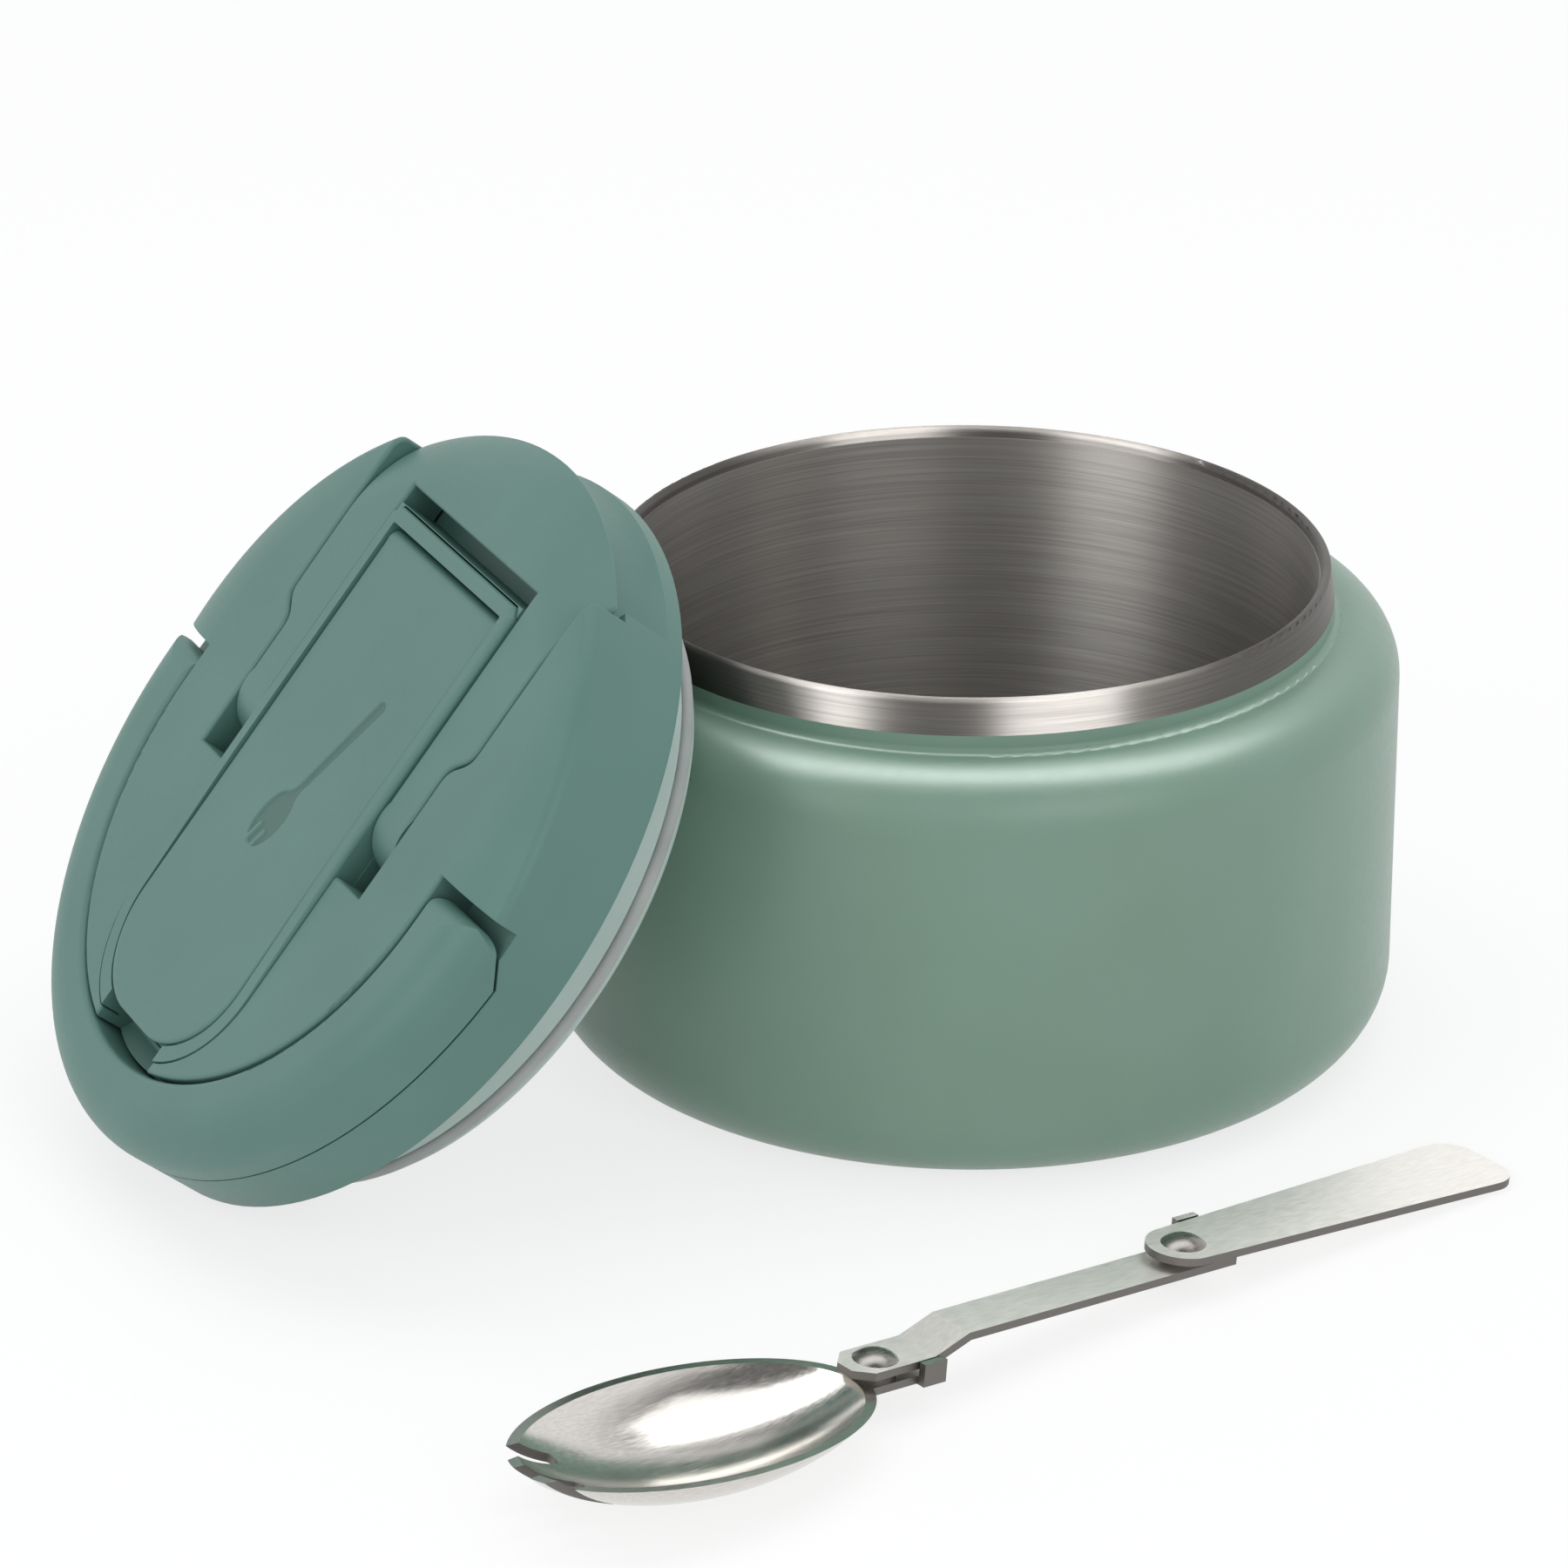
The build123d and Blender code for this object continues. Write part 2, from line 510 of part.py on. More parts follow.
# Foot disc: fixed under the plug by its hub, it holds the seal from below.
with BuildPart() as foot_disc:
    with BuildSketch(Plane.XY.offset(FOOT_DISC_Z)):
        Circle(FOOT_DISC_R)
    extrude(amount=FOOT_DISC_TOP - FOOT_DISC_Z)
    fillet(foot_disc.edges().group_by(Axis.Z)[0], radius=0.9)
    with BuildSketch(Plane.XY.offset(FOOT_DISC_TOP)):
        Circle(HUB_R)
    extrude(amount=PLUG_FLOOR_Z - FOOT_DISC_TOP)
write(foot_disc, "foot_disc", LID_PLACE)

# Seal: silicone ring in the groove between the plug and the foot disc.
with BuildPart() as seal_ring:
    with BuildSketch(Plane.XZ) as seal_section:
        with Locations(((SEAL_R + SEAL_IN_R) / 2, (SEAL_TOP + SEAL_Z) / 2)):
            Rectangle(SEAL_R - SEAL_IN_R, SEAL_TOP - SEAL_Z)
        fillet(seal_section.vertices().group_by(Axis.X)[-1], radius=0.9)
    revolve(axis=Axis.Z)
write(seal_ring, "seal_ring", LID_PLACE)

# Presser: ring plate that the rods push down on the seal as the lever closes.
with BuildPart() as presser:
    with BuildSketch(Plane.XY.offset(PRESSER_Z)):
        Circle(PRESSER_R)
        Circle(HUB_R + 0.5, mode=Mode.SUBTRACT)
    extrude(amount=PRESSER_T)
write(presser, "presser", LID_PLACE)

# Push rods: each has a flat head under one of the lever's cams.
with BuildPart() as push_rods:
    for side in (-1, 1):
        with Locations((side * ARM_MID, LEVER_PIN_Y, PRESSER_Z + PRESSER_T)):
            Cylinder(ROD_R, ROD_TOP - PRESSER_Z - PRESSER_T, align=UP)
        with Locations((side * ARM_MID, LEVER_PIN_Y, ROD_TOP - ROD_HEAD_T)):
            Cylinder(ROD_HEAD_R, ROD_HEAD_T, align=UP)
write(push_rods, "push_rods", LID_PLACE)

# Pins on which the lever turns, one across each well.
with BuildPart() as lever_pins:
    for side in (-1, 1):
        with Locations(Location((side * ARM_MID, LEVER_PIN_Y, LEVER_PIN_Z), (0, 90, 0))):
            Cylinder(LEVER_PIN_R, WELL_WIDE + 2 * WELL_WALL - 0.4)
write(lever_pins, "lever_pins", LID_PLACE)

# Tray: lining of the spork pocket with the raised frame round the cover.
with BuildPart() as pocket_tray:
    with BuildSketch():
        add(cover_outline(TRAY_GROW))
    extrude(amount=LEDGE_TOP)
    with BuildSketch(Plane.XY.offset(FRAME_UNDER)):
        add(cover_outline(FRAME_GROW))
    extrude(amount=FRAME_TOP - FRAME_UNDER)
    fillet(pocket_tray.edges().group_by(Axis.Z)[-1], radius=FRAME_EDGE)
    with BuildSketch(Plane.YZ):
        with BuildLine():
            Polyline((FRAME_FADE_Y[0], FRAME_TOP), (FRAME_FADE_Y[1], FRAME_SUNK), (60, FRAME_SUNK),
                     (60, FRAME_TOP + 1), (FRAME_FADE_Y[0], FRAME_TOP + 1), close=True)
        make_face()
    extrude(amount=40, both=True, mode=Mode.SUBTRACT)
    with BuildSketch(Plane.XY.offset(LEDGE_TOP)):
        add(cover_outline(COVER_GAP))
    extrude(amount=5, mode=Mode.SUBTRACT)
    with BuildSketch(Plane.XY.offset(TRAY_FLOOR)):
        add(cover_outline(TRAY_GROW - TRAY_WALL))
    extrude(amount=20, mode=Mode.SUBTRACT)
    with Locations(Location((0, COVER_PIN_Y, COVER_PIN_Z), (0, 90, 0))):
        Cylinder(BARREL_R + 0.4, 2 * COVER_HALF + 2 * COVER_GAP, mode=Mode.SUBTRACT)
        Cylinder(COVER_PIN_R, 2 * (COVER_HALF + 2.2), mode=Mode.SUBTRACT)
    with BuildSketch(Plane.YZ):
        with BuildLine():
            Polyline((COVER_BACK - 2, 12.5), (COVER_BACK + 2, 12.5), (COVER_BACK + 5.5, 14.5),
                     (COVER_BACK + 5.5, 25), (COVER_BACK - 2, 25), close=True)
        make_face()
    extrude(amount=NOTCH_HALF, both=True, mode=Mode.SUBTRACT)
write(pocket_tray, "pocket_tray", LID_PLACE)

# Hinge pin of the cover, pressed into the frame on both sides.
with BuildPart() as cover_pin:
    with Locations(Location((0, COVER_PIN_Y, COVER_PIN_Z), (0, 90, 0))):
        Cylinder(COVER_PIN_R, 2 * (COVER_HALF + 2.1))
write(cover_pin, "cover_pin", LID_PLACE)

# Cover: plate with its hinge barrel across the front end.
with BuildPart() as pocket_cover:
    with BuildSketch(Plane.XY.offset(COVER_UNDER)):
        add(cover_outline(0))
        with Locations((0, COVER_PIN_Y - 5)):
            Rectangle(60, 10, mode=Mode.SUBTRACT)
    extrude(amount=COVER_TOP - COVER_UNDER)
    fillet(pocket_cover.edges().group_by(Axis.Z)[-1].sort_by(Axis.Y)[1:], radius=0.5)
    with Locations(Location((0, COVER_PIN_Y, COVER_PIN_Z), (0, 90, 0))):
        Cylinder(BARREL_R, 2 * COVER_HALF)
        Cylinder(COVER_PIN_R + RUN_FIT, 2 * COVER_HALF, mode=Mode.SUBTRACT)
write(pocket_cover, "pocket_cover", LID_PLACE)

# Handle: folded flat it fills the channel round the back of the cap.
with BuildPart() as handle_side:
    with BuildSketch(Plane.YZ):
        with BuildLine():
            Polyline((HANDLE_PIN_Y, LID_TOP), (70, LID_TOP), (70, HANDLE_LIP_Z),
                     (LIP_FRONT_Y, HANDLE_LIP_Z), HANDLE_NOSE, (HANDLE_PIN_Y, HANDLE_PIN_Z),
                     close=True)
        make_face()
        with Locations((HANDLE_PIN_Y, HANDLE_PIN_Z)):
            Circle(HANDLE_END_R)
    extrude(amount=70, both=True)
with BuildPart() as handle_plan:
    with BuildSketch() as handle_outline:
        Circle(LID_R + 0.2)
        with Locations((0, HANDLE_PIN_Y - HANDLE_END_R - 50)):
            Rectangle(140, 100, mode=Mode.SUBTRACT)
        with Locations((0, HANDLE_IN_Y)):
            Circle(HANDLE_IN_R, mode=Mode.SUBTRACT)
        with Locations((0, HANDLE_IN_Y - 20)):
            Rectangle(2 * HANDLE_IN_R, 40, mode=Mode.SUBTRACT)
        corners = handle_outline.vertices().group_by(Axis.Y)[0].sort_by(Axis.X)
        fillet([corners[0], corners[-1]], radius=HANDLE_END_OUT)
        corners = handle_outline.vertices().group_by(Axis.Y)[0].sort_by(lambda point: abs(point.X))
        fillet(corners[:2], radius=HANDLE_END_IN)
    extrude(amount=40)
with BuildPart() as carry_handle:
    with BuildSketch(Plane.XZ):
        with BuildLine():
            Polyline((HANDLE_ROLL_R, LID_TOP), (0, LID_TOP), (0, -1), (LID_R, -1),
                     (LID_R, HANDLE_ROLL_Z))
            EllipticalCenterArc((HANDLE_ROLL_R, HANDLE_ROLL_Z), LID_R - HANDLE_ROLL_R,
                                LID_TOP - HANDLE_ROLL_Z, arc_size=90)
        make_face()
    revolve(axis=Axis.Z)
    with Locations((0, HANDLE_IN_Y, 0)):
        Cylinder(HANDLE_IN_R, 60, mode=Mode.SUBTRACT)
    with Locations((0, HANDLE_IN_Y - 40, 0)):
        Box(2 * HANDLE_IN_R, 80, 60, mode=Mode.SUBTRACT)
    inside = carry_handle.edges().filter_by(above(LID_TOP - 0.1))
    fillet(inside.filter_by(lambda edge: edge.center().Y > 2.5 and edge.length < 150)
           + inside.filter_by(GeomType.LINE), radius=HANDLE_EDGE)
    Cylinder(HANDLE_LIP_R, HANDLE_UNDER, align=UP, mode=Mode.SUBTRACT)
    add(handle_side.part, mode=Mode.INTERSECT)
    add(handle_plan.part, mode=Mode.INTERSECT)
    for side in (-1, 1):
        with Locations(Location((side * 47, HANDLE_PIN_Y, HANDLE_PIN_Z), (0, 90, 0))):
            Cylinder(HANDLE_PIN_R + RUN_FIT, 11.0, mode=Mode.SUBTRACT)
write(carry_handle, "carry_handle", LID_PLACE)

# Pins on which the handle swings, one each side.
with BuildPart() as handle_pins:
    for side in (-1, 1):
        with Locations(Location((side * 46.2, HANDLE_PIN_Y, HANDLE_PIN_Z), (0, 90, 0))):
            Cylinder(HANDLE_PIN_R, 12.0)
write(handle_pins, "handle_pins", LID_PLACE)

# Lever: U-shaped, flush with the top, with a rolled lip at the front and a cam at the end
# of each arm.  The cam's radius falls evenly over the lever's travel.
CAM_STEPS = 6
CAM_POINTS = []
for step in range(CAM_STEPS + 1):
    turn = radians(-90 + LEVER_TURN * step / CAM_STEPS)
    reach = CAM_R + CAM_LIFT * (1 - step / CAM_STEPS)
    CAM_POINTS.append((LEVER_PIN_Y + reach * cos(turn), LEVER_PIN_Z + reach * sin(turn)))
CAM_LOW = CAM_R + CAM_LIFT
ARM_BACK = STEP_Y1 + 1   # the lever's frame ends here and the rounded arm ends begin
with BuildPart() as cam_lobe:
    with BuildSketch(Plane.YZ):
        with Locations((LEVER_PIN_Y, LEVER_PIN_Z)):
            Circle(CAM_R - 0.01)
        with BuildLine():
            Spline(*CAM_POINTS)
            Line(CAM_POINTS[-1], (LEVER_PIN_Y, LEVER_PIN_Z))
            Line((LEVER_PIN_Y, LEVER_PIN_Z), (LEVER_PIN_Y - CAM_LOW, LEVER_PIN_Z))
            RadiusArc((LEVER_PIN_Y - CAM_LOW, LEVER_PIN_Z), CAM_POINTS[0], -CAM_LOW)
        make_face()
        with BuildLine():
            Polyline((LEVER_PIN_Y, LEVER_UNDER), (LEVER_PIN_Y, LEVER_PIN_Z),
                     (LEVER_PIN_Y - CAM_LOW, LEVER_PIN_Z), (LEVER_PIN_Y - CAM_LOW, LEVER_UNDER),
                     close=True)
        make_face()
    extrude(amount=ARM_OUT - ARM_IN)
with BuildPart() as arm_end:
    with BuildSketch(Plane.YZ):
        with BuildLine():
            Polyline((LEVER_PIN_Y + CAM_R, LEVER_PIN_Z), (ARM_BACK, LEVER_PIN_Z), (ARM_BACK, LID_TOP),
                     (LEVER_PIN_Y, LID_TOP))
            CenterArc((LEVER_PIN_Y, LEVER_PIN_Z), CAM_R, 0, 90)
        make_face()
    extrude(amount=ARM_OUT - ARM_IN)
    top = arm_end.edges().filter_by(above(LEVER_PIN_Z - 0.1))
    fillet([edge for edge in top if edge.bounding_box().size.X < 0.1
            and edge.bounding_box().size.Y > 0.1 and edge.center().Z > LEVER_PIN_Z + 1], radius=EDGE)
with BuildPart() as lever_dome:
    with BuildSketch(Plane.XZ):
        add(dome_profile(LIP_START_R, LIP_EDGE_Z))
    revolve(axis=Axis.Z)
with BuildPart() as lock_lever:
    with BuildSketch(Plane.XY.offset(LEVER_UNDER)):
        add(lever_outline(0, LEVER_INNER_Y, ARM_BACK, STEP_DRAFT))
    with BuildSketch(Plane.XY.offset(LID_TOP)):
        add(lever_outline(0, LEVER_INNER_Y, ARM_BACK))
    loft(ruled=True)
    add(lever_dome.part, mode=Mode.INTERSECT)
    # The lip's underside rises clear of the scoop.
    with BuildSketch(Plane.XY.offset(LEVER_UNDER)):
        Circle(70)
        Circle(SCOOP_R - 1.5, mode=Mode.SUBTRACT)
    extrude(amount=LIP_EDGE_Z - LEVER_UNDER - 0.4, mode=Mode.SUBTRACT)
    rims = lock_lever.edges().filter_by(above(LIP_EDGE_Z - 0.1))
    soft = rims.filter_by(on(Axis.Y, LEVER_INNER_Y))
    soft += rims.filter_by(GeomType.BSPLINE).filter_by(lambda edge: -21 < edge.center().Y < -13)
    for side in (-1, 1):
        for half in (LEVER_HALF, ARM_OUT, ARM_IN):
            soft += rims.filter_by(on(Axis.X, side * half))
    fillet(soft, radius=EDGE)
    for start in (ARM_IN, -ARM_OUT):
        with Locations((start, 0, 0)):
            add(arm_end.part)
            add(cam_lobe.part)
    for side in (-1, 1):
        with Locations(Location((side * ARM_MID, LEVER_PIN_Y, LEVER_PIN_Z), (0, 90, 0))):
            Cylinder(LEVER_PIN_R + RUN_FIT, 12, mode=Mode.SUBTRACT)
write(lock_lever, "lock_lever", LID_PLACE)


# ======================================================================================
# Spork
# ======================================================================================
# Bowl: pressed from sheet as part of an ellipsoid, with four tines at the tip and a flat
# tang for the front rivet.
BOWL_DEEP = BOWL_RISE + BOWL_DROP
BOWL_SPREAD = 1 / sqrt(1 - ((BOWL_RISE - SHEET / 2) / BOWL_DEEP) ** 2)
BOWL_AXES = (BOWL_LONG * BOWL_SPREAD, BOWL_HALF * BOWL_SPREAD, BOWL_DEEP)


def bowl_solid(extra):
    """Ellipsoid of the bowl, grown by extra, cut off level with the rim."""
    ball = scale(Sphere(1), by=tuple(half + extra for half in BOWL_AXES))
    ball = ball.moved(Location((BOWL_MID_X, 0, BOWL_RISE)))
    with BuildPart() as bowl:
        add(ball)
        with Locations((BOWL_MID_X, 0, SHEET / 2)):
            Box(200, 200, 60, align=(Align.CENTER, Align.CENTER, Align.MAX), mode=Mode.INTERSECT)
    return bowl.part


BOWL_OUTER = bowl_solid(SHEET)
BOWL_INNER = bowl_solid(0)
BOWL_TIP_X = BOWL_MID_X - BOWL_LONG
TINE_SLOT = 9.3
with BuildPart() as spork_bowl:
    add(BOWL_OUTER)
    with BuildSketch(Plane.XY.offset(-SHEET / 2)):
        with BuildLine():
            Spline((-14, 8.0), (-4, LINK_HALF), tangents=((1, -0.75), (1, 0)))
            Polyline((-4, LINK_HALF), (TAIL, LINK_HALF), (TAIL, 0), (-14, 0), (-14, 8.0))
        make_face()
        mirror(about=Plane.XZ)
        with Locations((TAIL - 2, -LINK_HALF)):
            Rectangle(4, 3)
    extrude(amount=SHEET)
    add(BOWL_INNER, mode=Mode.SUBTRACT)
    # Bent stop tab beside the strip above.
    with Locations((TAIL - 2, -LINK_HALF - 0.9, -SHEET / 2)):
        Box(4, 1.2, LINK_Z + SHEET + SHEET / 2, align=UP)
    # Three tapered slots leave four tines.
    with BuildSketch(Plane.XY.offset(-20)):
        for middle, lean in ((-6.3, -0.5), (0, 0), (6.3, 0.5)):
            with BuildLine():
                Polyline(
                    (BOWL_TIP_X - 4, middle - lean - 2.1), (BOWL_TIP_X + TINE_SLOT - 1, middle - 1),
                    (BOWL_TIP_X + TINE_SLOT - 1, middle + 1), (BOWL_TIP_X - 4, middle - lean + 2.1),
                    close=True,
                )
            make_face()
            with Locations((BOWL_TIP_X + TINE_SLOT - 1, middle)):
                Circle(1)
    extrude(amount=40, mode=Mode.SUBTRACT)
    Cylinder(RIVET_R + RUN_FIT, 20, mode=Mode.SUBTRACT)
write(spork_bowl, "spork_bowl", SPORK_PLACE)

# Link: middle strip, stepped up just behind the front rivet.
STEP_X0 = 8.0
STEP_X1 = 14.0
LINK_END = REAR_RIVET_X + TAIL
with BuildPart() as spork_link:
    with BuildSketch(Plane.XZ):
        with BuildLine():
            Polyline(
                (-5.5, LINK_Z), (STEP_X0, LINK_Z), (STEP_X1, LINK_Z + JOGGLE_RISE),
                (LINK_END, LINK_Z + JOGGLE_RISE), (LINK_END, LINK_Z + JOGGLE_RISE + SHEET),
                (STEP_X1 - 0.4, LINK_Z + JOGGLE_RISE + SHEET), (STEP_X0 - 0.4, LINK_Z + SHEET),
                (-5.5, LINK_Z + SHEET), close=True,
            )
        make_face()
    extrude(amount=LINK_HALF, both=True)
    with BuildSketch(Plane.XY):
        with BuildLine():
            Polyline((-5.5, 0), (-5.5, 1.6), (-3.1, LINK_HALF), (LINK_END - 1.5, LINK_HALF),
                     (LINK_END, LINK_HALF - 1.5), (LINK_END, 0), close=True)
        make_face()
        mirror(about=Plane.XZ)
    extrude(amount=20, mode=Mode.INTERSECT)
    # Lug and bent stop tab beside the grip, on the side away from its swing.
    with Locations((LINK_END - 2, LINK_HALF + 1.6, LINK_Z + JOGGLE_RISE)):
        Box(4, 4.8, SHEET, align=UP)
    with Locations((LINK_END - 2, 6.8, LINK_Z + JOGGLE_RISE)):
        Box(4, 1.2, GRIP_Z + SHEET - LINK_Z - JOGGLE_RISE, align=UP)
    for place in (0, REAR_RIVET_X):
        with Locations((place, 0, 0)):
            Cylinder(RIVET_R, 40, mode=Mode.SUBTRACT)
write(spork_link, "spork_link", SPORK_PLACE)

# Grip: widens towards its rounded end.
GRIP_HALF0 = 5.5
GRIP_HALF1 = 8.0
with BuildPart() as spork_grip:
    with BuildSketch(Plane.XY.offset(GRIP_Z)) as grip_plan:
        with BuildLine():
            Polyline((REAR_RIVET_X, 0), (REAR_RIVET_X, GRIP_HALF0), (HANDLE_END_X - 22, GRIP_HALF1 - 1),
                     (HANDLE_END_X, GRIP_HALF1), (HANDLE_END_X, 0), close=True)
        make_face()
        mirror(about=Plane.XZ)
        fillet(grip_plan.vertices().group_by(Axis.X)[-1], radius=4.5)
        with Locations((REAR_RIVET_X, 0)):
            Circle(GRIP_HALF0)
    extrude(amount=SHEET)
    with Locations((REAR_RIVET_X, 0, 0)):
        Cylinder(RIVET_R + RUN_FIT, 40, mode=Mode.SUBTRACT)
write(spork_grip, "spork_grip", SPORK_PLACE)


# Rivets with domed heads, and the washers between the strips.
def rivet(place_x, low, high):
    """Rivet shank from low to high with a domed head at each end."""
    dome_r = (RIVET_HEAD_R**2 + RIVET_HEAD**2) / (2 * RIVET_HEAD)
    with BuildPart() as shank:
        with BuildSketch(Plane.XZ):
            with BuildLine():
                Line((0, low - RIVET_HEAD), (0, high + RIVET_HEAD))
                RadiusArc((0, high + RIVET_HEAD), (RIVET_HEAD_R, high), dome_r)
                Polyline((RIVET_HEAD_R, high), (RIVET_R, high), (RIVET_R, low), (RIVET_HEAD_R, low))
                RadiusArc((RIVET_HEAD_R, low), (0, low - RIVET_HEAD), dome_r)
            make_face()
        revolve(axis=Axis.Z)
    return shank.part.moved(Location((place_x, 0, 0)))


with BuildPart() as front_rivet:
    add(rivet(0, -SHEET / 2, LINK_Z + SHEET))
write(front_rivet, "front_rivet", SPORK_PLACE)
with BuildPart() as rear_rivet:
    add(rivet(REAR_RIVET_X, LINK_Z + JOGGLE_RISE, GRIP_Z + SHEET))
write(rear_rivet, "rear_rivet", SPORK_PLACE)
for name, place_x, low in (
    ("front_washer", 0, SHEET / 2),
    ("rear_washer", REAR_RIVET_X, LINK_Z + JOGGLE_RISE + SHEET),
):
    with BuildPart() as washer:
        with BuildSketch(Plane.XY.offset(low)):
            with Locations((place_x, 0)):
                Circle(RIVET_HEAD_R - 0.2)
                Circle(RIVET_R, mode=Mode.SUBTRACT)
        extrude(amount=RIVET_GAP)
    write(washer, name, SPORK_PLACE)
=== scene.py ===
"""Looks of the insulated food jar, its leaning lid and its folding spork, round the CAD parts."""

from math import cos, radians, sin

import bpy
import numpy as np
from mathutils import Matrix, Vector


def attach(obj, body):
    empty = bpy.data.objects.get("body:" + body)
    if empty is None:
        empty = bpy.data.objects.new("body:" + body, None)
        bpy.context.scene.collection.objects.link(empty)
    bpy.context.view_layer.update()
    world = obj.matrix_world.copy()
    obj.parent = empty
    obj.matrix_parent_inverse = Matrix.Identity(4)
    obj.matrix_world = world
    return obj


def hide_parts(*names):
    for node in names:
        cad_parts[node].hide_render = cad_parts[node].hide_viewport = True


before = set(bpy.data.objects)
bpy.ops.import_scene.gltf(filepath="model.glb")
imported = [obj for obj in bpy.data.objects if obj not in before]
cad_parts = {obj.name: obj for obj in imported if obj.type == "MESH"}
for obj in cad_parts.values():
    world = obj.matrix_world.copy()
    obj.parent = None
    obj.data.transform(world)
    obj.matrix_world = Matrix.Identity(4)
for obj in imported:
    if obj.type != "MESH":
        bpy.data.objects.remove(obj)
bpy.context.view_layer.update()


# ======================================================================================
# Studio: camera, table, sky and lamps
# A long lens looks down on a white laminate table from a little above.  Large soft boxes
# stand left and right of the camera and hang overhead, under a darker ceiling, and others
# show only in the gloss of a few parts.
# ======================================================================================
VIEW_DOWN = radians(24.21)    # how steeply the camera looks down, from how far, at what
VIEW_FAR = 1.1278
VIEW_AT = Vector((-0.0279, 0.0, 0.0371))
LENS_MM = 170.0
SENSOR_MM = 36.0

view_along = Vector((0, cos(VIEW_DOWN), -sin(VIEW_DOWN)))
lens_data = bpy.data.cameras.new("studio_camera")
lens_data.lens = LENS_MM
lens_data.sensor_width = SENSOR_MM
lens_data.clip_start = 0.05
lens_data.clip_end = 20.0
camera = bpy.data.objects.new("studio_camera", lens_data)
camera.location = VIEW_AT - view_along * VIEW_FAR
camera.rotation_mode = "QUATERNION"
camera.rotation_quaternion = view_along.to_track_quat("-Z", "Y")
bpy.context.scene.collection.objects.link(camera)
bpy.context.scene.camera = camera
bpy.context.scene.view_settings.view_transform = "Standard"


def tone(text):
    """Linear colour of an sRGB hex value such as #A0B1C2, with alpha 1."""
    parts = [int(text[i:i + 2], 16) / 255 for i in (1, 3, 5)]
    linear = [c / 12.92 if c <= 0.04045 else ((c + 0.055) / 1.055) ** 2.4 for c in parts]
    return (*linear, 1.0)


def add_node(tree, kind, settings=None, sockets=None):
    """Add one node to a tree: its settings, then its sockets, each a value or a link."""
    made = tree.nodes.new(kind)
    for name, value in (settings or {}).items():
        setattr(made, name, value)
    for name, value in (sockets or {}).items():
        if isinstance(value, bpy.types.NodeSocket):
            tree.links.new(value, made.inputs[name])
        else:
            made.inputs[name].default_value = value
    return made


def seen_rays(tree):
    """Factor that is 1 for camera, glossy and transmission rays, and 0 for soft light."""
    path = add_node(tree, "ShaderNodeLightPath")
    first = add_node(tree, "ShaderNodeMath", {"operation": "MAXIMUM"},
                     {0: path.outputs["Is Camera Ray"], 1: path.outputs["Is Transmission Ray"]})
    return add_node(tree, "ShaderNodeMath", {"operation": "MAXIMUM"},
                    {0: first.outputs[0], 1: path.outputs["Is Glossy Ray"]}).outputs[0]


# Sky: white where it is seen, in gloss too, where it darkens overhead as under a ceiling,
# and a plain cool grey as soft light.
SOFT_LIGHT = 0.58
CEILING_LOW = 0.50       # height of a direction, 0 level and 1 straight up, where the dark starts
CEILING_HIGH = 0.85
CEILING_GREY = 0.16
sky = bpy.data.worlds.new("studio_sky")
bpy.context.scene.world = sky
sky.use_nodes = True
tree = sky.node_tree
tree.nodes.clear()
height = add_node(tree, "ShaderNodeSeparateXYZ", None,
                  {0: add_node(tree, "ShaderNodeTexCoord").outputs["Generated"]}).outputs["Z"]
ceiling = add_node(tree, "ShaderNodeMapRange", {"interpolation_type": "SMOOTHSTEP"},
                   {"Value": height, "From Min": CEILING_LOW, "From Max": CEILING_HIGH,
                    "To Min": 1.0, "To Max": CEILING_GREY}).outputs[0]
path = add_node(tree, "ShaderNodeLightPath")
brightness = add_node(tree, "ShaderNodeMix", {"data_type": "FLOAT"},
                      {0: path.outputs["Is Glossy Ray"], 2: 1.0, 3: ceiling}).outputs[0]
soft = add_node(tree, "ShaderNodeBackground", None,
                {"Color": tone("#F4F6F8"), "Strength": SOFT_LIGHT})
white = add_node(tree, "ShaderNodeBackground", None,
                 {"Color": tone("#FFFFFF"), "Strength": brightness})
whole = add_node(tree, "ShaderNodeMixShader", None,
                 {0: seen_rays(tree), 1: soft.outputs[0], 2: white.outputs[0]})
add_node(tree, "ShaderNodeOutputWorld", None, {"Surface": whole.outputs[0]})

# Table: white laminate.  Where it is seen, most of its white is a glow, so that it joins the
# sky, and the rest is lit, so that the shadows stay.
TABLE_HALF = 3.0
TABLE_GLOW = 0.72        # share of the glow
TABLE_WHITE = 1.05       # its strength, which with the lit share adds up to 1
table_mesh = bpy.data.meshes.new("table_top")
table_mesh.from_pydata([(-TABLE_HALF, -TABLE_HALF, 0), (TABLE_HALF, -TABLE_HALF, 0),
                        (TABLE_HALF, TABLE_HALF, 0), (-TABLE_HALF, TABLE_HALF, 0)],
                       [], [(0, 1, 2, 3)])
table_top = bpy.data.objects.new("table_top", table_mesh)
bpy.context.scene.collection.objects.link(table_top)
laminate = bpy.data.materials.new("white_laminate_table")
laminate.use_nodes = True
tree = laminate.node_tree
lit = tree.nodes["Principled BSDF"]
lit.inputs["Base Color"].default_value = tone("#FAFAFA")
lit.inputs["Roughness"].default_value = 0.7
lit.inputs["Specular IOR Level"].default_value = 0.2
glow = add_node(tree, "ShaderNodeEmission", None,
                {"Color": tone("#FFFFFF"), "Strength": TABLE_WHITE})
share = add_node(tree, "ShaderNodeMath", {"operation": "MULTIPLY"},
                 {0: seen_rays(tree), 1: TABLE_GLOW})
table_look = add_node(tree, "ShaderNodeMixShader", None,
                      {0: share.outputs[0], 1: lit.outputs[0], 2: glow.outputs[0]})
